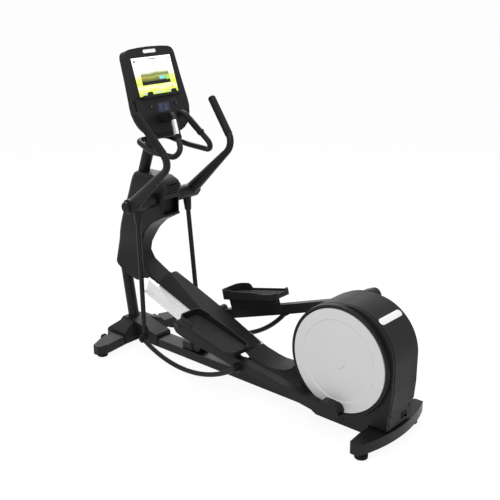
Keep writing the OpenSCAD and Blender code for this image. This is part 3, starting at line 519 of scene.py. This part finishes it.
def pick(piece: bpy.types.Object, kind: str, test: Callable[[bmesh.types.BMEdge | bmesh.types.BMFace], bool]) -> None:
    """In edit mode, select only the edges or faces that pass a test.

    Args:
        piece: The piece, active and in edit mode.
        kind: EDGE or FACE.
        test: Whether an edge or a face is wanted.
    """
    bpy.ops.mesh.select_all(action="DESELECT")
    bpy.ops.mesh.select_mode(type=kind)
    mesh = bmesh.from_edit_mesh(piece.data)
    for item in (mesh.edges if kind == "EDGE" else mesh.faces):
        item.select_set(test(item))
    bmesh.update_edit_mesh(piece.data)


def outwards(place: Matrix, way: Point | Vector) -> Vector:
    """Turn a direction from a frame into the part's frame.

    Args:
        place: The frame.
        way: The direction in it.

    Returns:
        The direction, of length 1.
    """
    return (place.to_3x3() @ Vector(way)).normalized()


def sink_face(piece: bpy.types.Object, way: Vector, border: float) -> None:
    """Sink the face that looks one way inside a border.

    Args:
        piece: The piece.
        way: The way that the face looks.
        border: The border's width, in metres.
    """
    with editing(piece):
        pick(piece, "FACE", lambda face: face.normal.dot(way) > FACING)
        bpy.ops.mesh.inset(thickness=border)
        bpy.ops.transform.translate(value=tuple(-way * FACE_DEPTH))


@dataclass
class NodeDresser:
    """Gives every CAD node its finish, and smooth shading to the curved mouldings.

    Attributes:
        moulded: The nodes whose small facets stand for one curved surface.
        facet_angle: The largest angle between such facets, in degrees.
    """

    moulded: tuple[str, ...] = ("tower_front_cover", "tower_rear_cover", "rear_fairing", "hub_cover",
                                "console_back", "console_bezel", "front_crossbar", "rear_crossbar")
    facet_angle: float = 26.0

    def dress_all(self) -> None:
        """Set the finish of each node by its name."""
        for name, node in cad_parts.items():
            stem = name.removesuffix("_left").removesuffix("_right")
            finish = NODE_FINISH.get(name) or NODE_FINISH[stem]
            node.data.materials.clear()
            node.data.materials.append(finish.material())
            LOG.info("node %s: %s", name, finish.name)
        for name in self.moulded:
            self._smooth(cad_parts[name])

    def _smooth(self, node: bpy.types.Object) -> None:
        """Shade a node's small facets as one surface, with modifiers alone.

        Args:
            node: The CAD node.
        """
        join = node.modifiers.new("join_faces", "WELD")
        join.merge_threshold = 0.00002
        part = node.modifiers.new("part_edges", "EDGE_SPLIT")
        part.split_angle = math.radians(self.facet_angle)
        shade = node.modifiers.new("even_shading", "WEIGHTED_NORMAL")
        shade.weight = 50


@dataclass
class Studio:
    """The floor, the lights, the background and the camera.

    Attributes:
        floor_half: Half the floor's side, in metres.
        floor_colour: Its colour.
        floor_glow: The strength of its white glow.
        floor_share: How much of it glows where it shows as the background.
        sky_light: The strength of the light from all round.
        lamps: Each lamp's name, place from the machine's middle, size and power.
        camera_at: The camera's place.
        camera_turn: Its azimuth and elevation, in degrees.
        lens: Its focal length, in millimetres on a 36 mm sensor.
    """

    floor_half: float = 150.0
    floor_colour: Colour = (0.9, 0.9, 0.9)
    floor_glow: float = 1.05
    floor_share: float = 0.88
    sky_light: float = 0.55
    lamps: tuple[tuple[str, Point, float, float], ...] = (
        ("key_lamp", (1.6, -3.4, 3.2), 2.6, 95.0),
        ("top_lamp", (-0.2, 0.3, 3.4), 3.0, 75.0),
        ("rim_lamp", (-3.0, 2.6, 2.2), 2.2, 60.0))
    camera_at: Point = (3.1137, -3.5486, 2.4013)
    camera_turn: tuple[float, float] = (41.0, 18.54)
    lens: float = 64.5

    def build(self) -> None:
        """Build the studio."""
        self._floor()
        self._world()
        self._lamps()
        self._camera()

    @staticmethod
    def _seen(made: Shaded) -> bpy.types.NodeSocket:
        """Add nodes that give 1 to a ray that shows the background.

        Args:
            made: What owns the nodes.

        Returns:
            The output that is 1 for camera, glossy and transmission rays.
        """
        path = add_node(made, "LightPath")
        seen = path.outputs["Is Camera Ray"]
        for ray in ("Is Glossy Ray", "Is Transmission Ray"):
            either = add_node(made, "Math", operation="MAXIMUM")
            made.node_tree.links.new(seen, either.inputs[0])
            made.node_tree.links.new(path.outputs[ray], either.inputs[1])
            seen = either.outputs[0]
        return seen

    def _floor(self) -> None:
        """A plain pale floor that keeps a faint shadow."""
        clear_selection()
        bpy.ops.mesh.primitive_plane_add(size=2 * self.floor_half)
        floor = bpy.context.object
        floor.name = "studio_floor"
        paint = bpy.data.materials.new("studio_floor_paint")
        paint.use_nodes = True
        nodes, links = paint.node_tree.nodes, paint.node_tree.links
        nodes.remove(nodes["Principled BSDF"])
        matt = add_node(paint, "BsdfDiffuse", {"Color": (*self.floor_colour, 1)})
        glow = add_node(paint, "Emission", {"Color": (1, 1, 1, 1), "Strength": self.floor_glow})
        share = add_node(paint, "Math", {1: self.floor_share}, "MULTIPLY")
        links.new(self._seen(paint), share.inputs[0])
        mix = add_node(paint, "MixShader")
        for index, node in enumerate((share, matt, glow)):
            links.new(node.outputs[0], mix.inputs[index])
        links.new(mix.outputs[0], nodes["Material Output"].inputs["Surface"])
        floor.data.materials.append(paint)
        LOG.info("floor")

    def _world(self) -> None:
        """A white background over soft grey light."""
        world = bpy.data.worlds.new("studio_light")
        bpy.context.scene.world = world
        world.use_nodes = True
        links = world.node_tree.links
        back = world.node_tree.nodes["Background"]
        mix = add_node(world, "MapRange", {"To Min": self.sky_light, "To Max": 1.0})
        links.new(self._seen(world), mix.inputs["Value"])
        links.new(mix.outputs["Result"], back.inputs["Strength"])
        back.inputs["Color"].default_value = (1, 1, 1, 1)

    def _lamps(self) -> None:
        """Large soft lamps above, in front and behind."""
        middle = (Vector(CAD_BOX[0]) + Vector(CAD_BOX[1])) / 2
        for name, offset, size, power in self.lamps:
            light = bpy.data.lights.new(name, "AREA")
            light.size = size
            light.energy = power
            lamp = bpy.data.objects.new(name, light)
            bpy.context.collection.objects.link(lamp)
            lamp.location = middle + Vector(offset)
            lamp.rotation_euler = (middle - lamp.location).to_track_quat("-Z", "Y").to_euler()

    def _camera(self) -> None:
        """The camera at its viewing angle."""
        eye = bpy.data.cameras.new("studio_camera")
        eye.lens = self.lens
        eye.sensor_width = 36.0
        camera = bpy.data.objects.new("studio_camera", eye)
        bpy.context.collection.objects.link(camera)
        camera.location = self.camera_at
        azimuth, elevation = self.camera_turn
        camera.rotation_euler = (math.radians(90 - elevation), 0, math.radians(azimuth))
        bpy.context.scene.camera = camera


def mm(*lengths: float) -> Point:
    """Turn millimetres into metres.

    Args:
        lengths: Three lengths in millimetres.

    Returns:
        The same lengths in metres.
    """
    return tuple(value / PER_METRE for value in lengths)


def round_corners(piece: bpy.types.Object, along: Vector, radius: float, steps: int = 8) -> None:
    """Round the four edges of a box that run one way.

    Args:
        piece: The box, with its place in its mesh.
        along: The way that the edges run.
        radius: The corners' radius, in metres.
        steps: Segments in each corner.
    """
    with editing(piece):
        pick(piece, "EDGE", lambda edge: abs((edge.verts[1].co - edge.verts[0].co).normalized().dot(along)) > FACING)
        bpy.ops.mesh.bevel(offset=radius, segments=steps, affect="EDGES")


def add_screw(name: str, at: Point, radius: float, way: Vector, place: Matrix, body: str) -> bpy.types.Object:
    """Add a round screw head with a hexagonal socket.

    Args:
        name: The screw's name.
        at: The middle of its seat, in metres in the given frame.
        radius: The head's radius.
        way: The way that the head looks, in the given frame.
        place: The given frame.
        body: The CAD body that it moves with.

    Returns:
        The screw.
    """
    seat = Vector(at)
    screw = add_round(name, seat, seat + way * radius * 0.55, radius, 36, place)
    out = outwards(place, way)
    with editing(screw):
        pick(screw, "FACE", lambda face: face.normal.dot(out) > FACING)
        bpy.ops.mesh.inset(thickness=radius * 0.45)
        bpy.ops.mesh.extrude_region_move(TRANSFORM_OT_translate={"value": tuple(-out * radius * 0.4)})
    soften(screw, radius * 0.12, 3, SHARP_ANGLE)
    return dress(screw, SCREW, body)


def add_ring(name: str, start: Point, end: Point, radius: float, hole: float,
             edge: float = 0.0008) -> bpy.types.Object:
    """Add a ring about the line between two points.

    Args:
        name: The ring's name.
        start: The middle of one end.
        end: The middle of the other end.
        radius: The ring's outer radius.
        hole: Its inner radius.
        edge: The round on its edges.

    Returns:
        The ring.
    """
    ring = add_round(name, start, end, radius, 72)
    out = (Vector(end) - Vector(start)).normalized()
    with editing(ring):
        pick(ring, "FACE", lambda face: abs(face.normal.dot(out)) > FACING)
        bpy.ops.mesh.inset(thickness=radius - hole)
        bpy.ops.mesh.bridge_edge_loops()
        bpy.ops.mesh.select_all(action="SELECT")
        bpy.ops.mesh.normals_make_consistent(inside=False)
    soften(ring, edge, 2, SHARP_ANGLE)
    return ring


@dataclass
class Console:
    """The console's screens, keys, seams and badge.

    Sizes are in millimetres in the console's own frame: X out of its face, Z up it.

    Attributes:
        at: The middle of the console's face in the part's frame.
        lean: How far the face leans back, in degrees.
        page: Half the width, bottom and top of the lit page.
        face: The screen glass's height over the console's frame.
    """

    at: Point = (-691.0, 0.0, 1717.0)
    lean: float = -18.12
    page: tuple[float, float, float] = (151.0, -108.0, 111.0)
    face: float = 1.5

    @property
    def place(self) -> Matrix:
        """The console's frame in the part's frame, in metres."""
        return Matrix.Translation(mm(*self.at)) @ Matrix.Rotation(math.radians(self.lean), 4, "Y")

    def build(self) -> None:
        """Build the console's pieces."""
        self._page()
        self._inset()
        self._marks()
        self._display()
        self._key_caps()
        self._rims()

    def _tile(self, name: str, low: Point, high: Point, finish: Finish, corner: float = 0.0) -> bpy.types.Object:
        """Add a thin tile in the console's frame.

        Args:
            name: The tile's name.
            low: Its lowest corner, in millimetres.
            high: Its highest corner, in millimetres.
            finish: Its finish.
            corner: The radius of its corners, in millimetres.

        Returns:
            The tile.
        """
        tile = add_block(name, mm(*low), mm(*high), self.place)
        if corner:
            soften(tile, corner / PER_METRE, 4)
        return dress(tile, finish, "frame")

    def _page(self) -> None:
        """The lit page: white above and lime below."""
        half, bottom, top = self.page
        page = self._tile("screen_page", (self.face, -half, bottom), (self.face + 0.3, half, top), PLAIN_PAGE)
        page.data.materials.clear()
        page.data.materials.append(self._picture("screen_page_picture", (bottom, top), PAGE_STOPS, 14.0, 0.06))

    def _inset(self) -> None:
        """A plain landscape in the page, with a dark bar under it and two tiles."""
        inset = self._tile("screen_landscape", (self.face + 0.3, -109, -27), (self.face + 0.5, 109, 39), PLAIN_PAGE)
        inset.data.materials.clear()
        inset.data.materials.append(self._picture("screen_landscape_picture", (-27, 39), HILL_STOPS, 9.0, 0.16))
        self._tile("screen_bar", (self.face + 0.3, -109, -47), (self.face + 0.5, 109, -27), SCREEN_DARK)
        self._tile("screen_tile_cyan", (self.face + 0.5, 28, -22), (self.face + 0.7, 74, -3), SCREEN_CYAN)
        self._tile("screen_tile_green", (self.face + 0.5, 78, -27), (self.face + 0.7, 109, 0), SCREEN_GREEN)

    def _marks(self) -> None:
        """Plain bars and dots where the page has its header and tabs."""
        over = self.face + 0.3
        self._tile("screen_header", (over, -32, 95), (over + 0.2, 34, 101), SCREEN_GREY)
        self._tile("screen_subheader", (over, -80, 82), (over + 0.2, 84, 85), SCREEN_PALE)
        for index, left in enumerate((-128, -28, 72)):
            self._tile(f"screen_tab_{index + 1}", (over, left, -98), (over + 0.2, left + 56, -88), SCREEN_WHITE)
        for name, y, z, radius, finish in (("screen_dot_dark", -132, 90, 7.0, SCREEN_DARK),
                                           ("screen_dot_blue", 134, 94, 6.5, SCREEN_BLUE),
                                           ("screen_dot_low", 112, -70, 4.0, SCREEN_GREY)):
            dot = add_round(name, mm(over, y, z), mm(over + 0.2, y, z), radius / PER_METRE, 32, self.place)
            dress(dot, finish, "frame")

    def _display(self) -> None:
        """The small display under the rack, with plain lit marks."""
        self._tile("display_face", (9.4, -43, -207), (9.6, 43, -157), DISPLAY_BLUE)
        for index, (y, z, wide, high) in enumerate(((14, -172, 8, 3), (14, -186, 8, 3), (12, -198, 12, 4),
                                                    (-30, -172, 14, 2), (-30, -186, 10, 2))):
            self._tile(f"display_mark_{index + 1}", (9.6, y, z), (9.8, y + wide, z + high), DISPLAY_MARK)
        self._tile("key_strip", (9.0, -34, -216.5), (9.5, 34, -212), SCREEN_GREY, 0.2)

    def _key_caps(self) -> None:
        """Raised faces on the two keys, and the small keys beside them."""
        for side in Side:
            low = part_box(f"key_{side.word}")
            middle = (Vector(low[0]) + Vector(low[1])) / 2
            local = self.place.inverted() @ middle * PER_METRE
            cap = add_round(f"key_cap_{side.word}", mm(local.x, local.y, local.z),
                            mm(local.x + 12, local.y, local.z), 8.2 / PER_METRE, 40, self.place)
            sink_face(cap, outwards(self.place, (1, 0, 0)), 0.0012)
            soften(cap, 0.0006, 3)
            dress(cap, KEY_CAP, f"key_{side.word}")
        for row in range(2):
            for column in range(2):
                y, z = 78 + 22 * column, -142 - 10 * row
                self._tile(f"soft_key_{row + 1}_{column + 1}", (8.6, y - 7, z - 3), (9.5, y + 7, z + 3),
                           KEY_CAP, 0.4)

    def _rims(self) -> None:
        """The thin seam round the glass, and the small tab on the left edge."""
        half, bottom, top = self.page
        for name, low, high in (
                ("screen_rim_top", (self.face, -half - 2, top), (self.face + 0.4, half + 2, top + 1.2)),
                ("screen_rim_low", (self.face, -half - 2, bottom - 1.2), (self.face + 0.4, half + 2, bottom))):
            self._tile(name, low, high, SHELL_DARK)
        for side in Side:
            edge = side.value * (half + 1)
            self._tile(f"screen_rim_{side.word}", (self.face, edge - 1, bottom),
                       (self.face + 0.4, edge + 1, top), SHELL_DARK)
        self._tile("side_tab", (-14, -216, -137), (-2, -200, -129), SHELL_DARK, 1.5)

    def _picture(self, name: str, span: tuple[float, float], stops: tuple[tuple[float, Colour], ...],
                 waves: float, swing: float) -> bpy.types.Material:
        """A lit picture of soft bands up the console's face.

        Args:
            name: The material's name.
            span: The bottom and top of the bands, in millimetres up the face.
            stops: The bands, as a share up the span and a colour.
            waves: The frequency of the bands' waves.
            swing: How far the bands wave, as a share of the span.

        Returns:
            The material.
        """
        made = bpy.data.materials.new(name)
        made.use_nodes = True
        links = made.node_tree.links
        shader = made.node_tree.nodes["Principled BSDF"]
        shader.inputs["Roughness"].default_value = SCREEN_ROUGHNESS
        place = add_node(made, "TexCoord")
        local = add_node(made, "Mapping")
        local.vector_type = "TEXTURE"
        local.inputs["Location"].default_value = self.place.translation
        local.inputs["Rotation"].default_value = self.place.to_euler()
        links.new(place.outputs["Object"], local.inputs["Vector"])
        axes = add_node(made, "SeparateXYZ")
        links.new(local.outputs["Vector"], axes.inputs["Vector"])
        share = add_node(made, "MapRange", {"From Min": span[0] / PER_METRE, "From Max": span[1] / PER_METRE})
        links.new(axes.outputs["Z"], share.inputs["Value"])
        noise = add_node(made, "TexNoise", {"Scale": waves, "Detail": 4.0})
        links.new(local.outputs["Vector"], noise.inputs["Vector"])
        wave = add_node(made, "Math", {1: swing * 2, 2: -swing}, "MULTIPLY_ADD")
        links.new(noise.outputs["Fac"], wave.inputs[0])
        shifted = add_node(made, "Math")
        links.new(share.outputs["Result"], shifted.inputs[0])
        links.new(wave.outputs[0], shifted.inputs[1])
        bands = add_node(made, "ValToRGB")
        ramp = bands.color_ramp
        for index, (stop, colour) in enumerate(stops):
            element = ramp.elements[index] if index < 2 else ramp.elements.new(stop)
            element.position = stop
            element.color = (*colour, 1)
        links.new(shifted.outputs[0], bands.inputs["Fac"])
        links.new(bands.outputs["Color"], shader.inputs["Base Color"])
        links.new(bands.outputs["Color"], shader.inputs["Emission Color"])
        shader.inputs["Emission Strength"].default_value = 0.55
        return made


@dataclass
class Pedals:
    """The pedals' pads, treads and screws, over the CAD pedals.

    Sizes are in millimetres in each pedal's own frame: X backwards, Z up from its plate.

    Attributes:
        pins: The crank pins' places, by side, as X and Z in the part's frame.
        turns: The arms' turns at rest, by side, in degrees.
        at: The pedal's place on its arm.
        tilt: The pedal's tilt on its arm, in degrees.
        pad: The pad's length, width and height.
        lug: The side and height of a tread lug.
        count: Lugs along and across.
        pitch: The pitch of the lugs.
        screw_at: A screw's distance from the pad's end, and from its middle line.
    """

    pins: dict[Side, tuple[float, float]] = field(
        default_factory=lambda: {Side.LEFT: (754.6, 161.4), Side.RIGHT: (727.4, 680.6)})
    turns: dict[Side, float] = field(default_factory=lambda: {Side.LEFT: 8.28, Side.RIGHT: -18.7})
    at: Point = (-848.0, 195.0, 70.0)
    tilt: float = 5.5
    pad: Point = (376.0, 132.0, 2.4)
    lug: tuple[float, float] = (10.0, 1.4)
    count: tuple[int, int] = (17, 6)
    pitch: tuple[float, float] = (20.5, 19.5)
    screw_at: tuple[float, float] = (40.0, 29.25)

    def build(self) -> None:
        """Build both pedals' pieces."""
        for side in Side:
            place = self.place(side)
            self._pad(side, place)
            self._lugs(side, place)
            self._screws(side, place)
            LOG.info("pedal %s", side.word)

    def place(self, side: Side) -> Matrix:
        """Find a pedal's own frame.

        Args:
            side: The pedal's side.

        Returns:
            Its frame in the part's frame, in metres.
        """
        pin = self.pins[side]
        arm = Matrix.Translation(mm(pin[0], 0, pin[1])) @ Matrix.Rotation(math.radians(self.turns[side]), 4, "Y")
        x, y, z = self.at
        return arm @ Matrix.Translation(mm(x, side.value * y, z)) @ Matrix.Rotation(math.radians(self.tilt), 4, "Y")

    def _pad(self, side: Side, place: Matrix) -> None:
        """Lay a soft pad with a sunk border on the plate.

        Args:
            side: The pedal's side.
            place: The pedal's frame.
        """
        long, wide, high = self.pad
        pad = add_block(f"pedal_pad_{side.word}", mm(-long / 2, -wide / 2, 0), mm(long / 2, wide / 2, high), place)
        up = outwards(place, (0, 0, 1))
        round_corners(pad, up, 0.026)
        sink_face(pad, up, 0.004)
        soften(pad, 0.0005, 2)
        dress(pad, PAD, f"arm_{side.word}")

    def _lugs(self, side: Side, place: Matrix) -> None:
        """Raise rows of small lugs on the pad.

        Args:
            side: The pedal's side.
            place: The pedal's frame.
        """
        size, rise = self.lug
        half_x = (self.count[0] - 1) * self.pitch[0] / 2
        half_y = (self.count[1] - 1) * self.pitch[1] / 2
        base = self.pad[2] - 1.0
        lug = add_block(f"pedal_tread_{side.word}", mm(-half_x - size / 2, -half_y - size / 2, base),
                        mm(-half_x + size / 2, -half_y + size / 2, base + rise + 0.2), place)
        soften(lug, 0.0006, 2)
        for axis, many, pitch in ((Vector((1, 0, 0)), self.count[0], self.pitch[0]),
                                  (Vector((0, 1, 0)), self.count[1], self.pitch[1])):
            rows = lug.modifiers.new("rows", "ARRAY")
            rows.count = many
            rows.use_relative_offset = False
            rows.use_constant_offset = True
            rows.constant_offset_displace = place.to_3x3() @ axis * (pitch / PER_METRE)
            only(lug)
            bpy.ops.object.modifier_apply(modifier=rows.name)
        dress(lug, PEDAL, f"arm_{side.word}")

    def _screws(self, side: Side, place: Matrix) -> None:
        """Set four screws through the pad into the plate.

        Args:
            side: The pedal's side.
            place: The pedal's frame.
        """
        long, _, high = self.pad
        inset, off = self.screw_at
        for index, (x, y) in enumerate(((-1, -1), (-1, 1), (1, -1), (1, 1))):
            add_screw(f"pedal_screw_{side.word}_{index + 1}", mm(x * (long / 2 - inset), y * off, high - 0.9), 0.0042,
                      Vector((0, 0, 1)), place, f"arm_{side.word}")


@dataclass
class Drive:
    """The crank discs' faces, and the housing's screws and badge.

    Sizes are in millimetres in the part's frame.

    Attributes:
        axis: The crank axis, as X and Z.
        lip: The outer and inner radius of the disc's lip.
        pillar_x: The pillar's rear face.
        pillar_screw: A screw in it, as distance from the middle and Z.
        band_at: The middle of the housing's rear round, as X and Z.
        band_radius: The rear round's radius.
        badge: The badge's length across the housing and its height.
        badge_turn: Where it lies up the rear round, in degrees.
    """

    axis: tuple[float, float] = (741.0, 421.0)
    lip: tuple[float, float] = (279.0, 275.0)
    pillar_x: float = 1040.5
    pillar_screw: tuple[float, float] = (85.0, 186.0)
    band_at: tuple[float, float] = (793.0, 466.0)
    band_radius: float = 262.0
    badge: tuple[float, float] = (190.0, 38.0)
    badge_turn: float = 53.1

    def build(self) -> None:
        """Build the drive's pieces."""
        for side in Side:
            self._disc(side)
            self._screws(side)
            LOG.info("drive %s", side.word)
        self._badge()

    def _disc(self, side: Side) -> None:
        """Give the disc's rim a rounded lip.

        Args:
            side: The disc's side.
        """
        low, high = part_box(f"crank_disc_{side.word}")
        face = (high if side is Side.RIGHT else low)[1] * PER_METRE
        x, z = self.axis
        outer, inner = self.lip
        ring = add_ring(f"disc_lip_{side.word}", mm(x, face - side.value * 4, z), mm(x, face - side.value * 0.1, z),
                        outer / PER_METRE, inner / PER_METRE, edge=0.0014)
        dress(ring, DISC, "crank")

    def _badge(self) -> None:
        """Lay a blank pill on the housing's rear round."""
        x, z = self.band_at
        turn = Matrix.Rotation(math.radians(-self.badge_turn), 4, "Y")
        place = Matrix.Translation(mm(x, 0, z)) @ turn
        out = outwards(place, (1, 0, 0))
        for name, grow, lift, finish in (("badge_rim", 2.0, 0.9, SHELL_DARK), ("badge_face", 0.0, 1.8, BADGE)):
            half_long, half_high = self.badge[0] / 2 + grow, self.badge[1] / 2 + grow
            pill = add_block(f"housing_{name}", mm(self.band_radius - 3, -half_long, -half_high),
                             mm(self.band_radius + lift, half_long, half_high), place)
            round_corners(pill, out, (half_high - 0.5) / PER_METRE, 12)
            soften(pill, 0.0006, 3, SHARP_ANGLE)
            dress(pill, finish, "frame")

    def _screws(self, side: Side) -> None:
        """Set a dark screw low on the pillar.

        Args:
            side: The screws' side.
        """
        y, z = self.pillar_screw
        add_screw(f"pillar_screw_{side.word}", mm(self.pillar_x - 4, side.value * y, z), 0.006, Vector((1, 0, 0)),
                  PART, "frame")


@dataclass
class Tower:
    """The tower's knob and screws.

    Sizes are in millimetres in the part's frame.

    Attributes:
        knob: The height knob's place at the front of the neck.
        knob_radius: Its radius.
        screws: The cover screws' places on each side, as X, half width and Z.
    """

    knob: Point = (-832.0, 0.0, 1138.0)
    knob_radius: float = 15.0
    screws: tuple[Point, ...] = ((-755.0, 74.6, 914.0), (-649.0, 74.8, 949.0), (-661.0, 74.8, 1090.0))

    def build(self) -> None:
        """Build the tower's pieces."""
        self._knob()
        for side in Side:
            for index, (x, y, z) in enumerate(self.screws):
                add_screw(f"tower_screw_{side.word}_{index + 1}", mm(x, side.value * (y - 1.5), z), 0.0055,
                          Vector((0, side.value, 0)), PART, "frame")
        LOG.info("tower")

    def _knob(self) -> None:
        """A ribbed knob that clamps the neck, with a turned collar behind it."""
        way = Vector((-1, 0, 0.25)).normalized()
        at = Vector(mm(*self.knob))
        knob = add_round("neck_knob", at, at + way * 0.018, self.knob_radius / PER_METRE, KNOB_SIDES)
        with editing(knob):
            ribs = iter(range(2 * KNOB_SIDES))
            pick(knob, "FACE", lambda face: abs(face.normal.dot(way)) < 0.2 and next(ribs) % 2 == 0)
            bpy.ops.mesh.inset(thickness=0.0006, use_individual=True)
            bpy.ops.transform.shrink_fatten(value=-0.0012)
        soften(knob, 0.0008, 2, SHARP_ANGLE)
        dress(knob, SHELL_DARK, "frame")
        collar = add_ring("neck_knob_collar", at - way * 0.012, at + way * 0.001, 0.011, 0.006)
        dress(collar, FRAME_PAINT, "frame")


@dataclass
class Bars:
    """The sensors' covers on the fixed bars, and the caps and collars of the handles.

    Sizes are in millimetres in the part's frame.

    Attributes:
        bar_start: Where the right fixed bar leaves the console.
        bar_end: Where it bends back.
        sensor_span: Where the sensor lies along the bar.
        sensor_radius: The sensor's radius.
        pivot: The handles' pivot, as X and Z.
        hub_face: The outer face of the handles' hubs, from the middle.
    """

    bar_start: Point = (-509.0, 44.0, 1524.0)
    bar_end: Point = (-339.0, 138.0, 1303.0)
    sensor_span: tuple[float, float] = (46.0, 138.0)
    sensor_radius: float = 19.0
    pivot: tuple[float, float] = (-661.0, 1003.0)
    hub_face: float = 294.0

    def build(self) -> None:
        """Build the bars' pieces on both sides."""
        for side in Side:
            self._sensor_cover(side)
            self._collar(side)
            self._pivot_cap(side)
            LOG.info("bars %s", side.word)

    def _line(self, side: Side) -> tuple[Vector, Vector]:
        """Find where the sensor's bar starts and which way it runs.

        Args:
            side: The bar's side.

        Returns:
            The start, in metres, and the way.
        """
        start = Vector(mm(self.bar_start[0], side.value * self.bar_start[1], self.bar_start[2]))
        end = Vector(mm(self.bar_end[0], side.value * self.bar_end[1], self.bar_end[2]))
        return start, (end - start).normalized()

    def _sensor_cover(self, side: Side) -> None:
        """Cover the inner half of a sensor with a black half sleeve.

        Args:
            side: The bar's side.
        """
        start, way = self._line(side)
        low, high = (value / PER_METRE for value in self.sensor_span)
        radius = self.sensor_radius / PER_METRE
        cover = add_ring(f"sensor_cover_{side.word}", start + way * (low - 0.002), start + way * (high + 0.002),
                         radius + 0.001, radius - 0.001)
        inward = Vector((0, -side.value, 0))
        inward = (inward - way * inward.dot(way)).normalized()
        with editing(cover):
            bpy.ops.mesh.select_all(action="SELECT")
            bpy.ops.mesh.bisect(plane_co=tuple(start), plane_no=tuple(inward), use_fill=True, clear_inner=True)
        dress(cover, RUBBER, "frame")

    def _collar(self, side: Side) -> None:
        """Put a collar where the bar's soft sleeve ends.

        Args:
            side: The bar's side.
        """
        start, way = self._line(side)
        far = self.sensor_span[1] / PER_METRE
        collar = add_ring(f"bar_collar_{side.word}", start + way * (far + 0.001), start + way * (far + 0.02),
                          0.0208, 0.0155, edge=0.002)
        dress(collar, RUBBER, "frame")

    def _pivot_cap(self, side: Side) -> None:
        """Set the pivot's screw in the handle's hub.

        Args:
            side: The handle's side.
        """
        x, z = self.pivot
        add_screw(f"pivot_screw_{side.word}", mm(x, side.value * self.hub_face, z), 0.012, Vector((0, side.value, 0)),
                  PART, f"handle_{side.word}")
        rim = add_ring(f"pivot_rim_{side.word}", mm(x, side.value * self.hub_face, z),
                       mm(x, side.value * (self.hub_face + 3), z), 0.029, 0.025)
        dress(rim, SHELL_DARK, f"handle_{side.word}")


@dataclass
class Linkage:
    """The bolts of the links and the wheels' caps.

    Sizes are in millimetres in the part's frame.

    Attributes:
        joints: The places of each link's two pins, as X and Z.
    """

    joints: dict[Side, tuple[tuple[float, float], ...]] = field(
        default_factory=lambda: {Side.LEFT: ((110.4, 206.6), (-643.4, 164.2)),
                                 Side.RIGHT: ((132.8, 428.7), (-575.9, 168.3))})

    def build(self) -> None:
        """Build both sides' bolts and caps."""
        for side in Side:
            out = Vector((0, side.value, 0))
            low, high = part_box(f"link_{side.word}")
            face = (high if side is Side.RIGHT else low)[1] * PER_METRE
            for index, (x, z) in enumerate(self.joints[side]):
                add_screw(f"link_screw_{side.word}_{index + 1}", mm(x, face - side.value * 1.5, z), 0.0095, out,
                          PART, f"link_{side.word}")
            self._wheel_cap(side)
            LOG.info("linkage %s", side.word)

    @staticmethod
    def _wheel_cap(side: Side) -> None:
        """Put a hub cap on a transport wheel.

        Args:
            side: The wheel's side.
        """
        name = f"wheel_{side.word}"
        low, high = (Vector(corner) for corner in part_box(name))
        middle = (low + high) / 2
        edge = (high if side is Side.RIGHT else low).y
        cap = add_round(f"{name}_cap", (middle.x, edge - side.value * 0.002, middle.z),
                        (middle.x, edge + side.value * 0.0006, middle.z), 0.011, 36)
        soften(cap, 0.0006, 2, SHARP_ANGLE)
        dress(cap, SHELL_DARK, name)


def main() -> None:
    """Dress the machine piece by piece, then set up the studio."""
    logging.basicConfig(level=logging.INFO, format="%(name)s: %(message)s")
    bpy.context.scene.view_settings.view_transform = "Standard"
    NodeDresser().dress_all()
    Console().build()
    Pedals().build()
    Drive().build()
    Tower().build()
    Bars().build()
    Linkage().build()
    Studio().build()


if __name__ == "__main__":
    main()
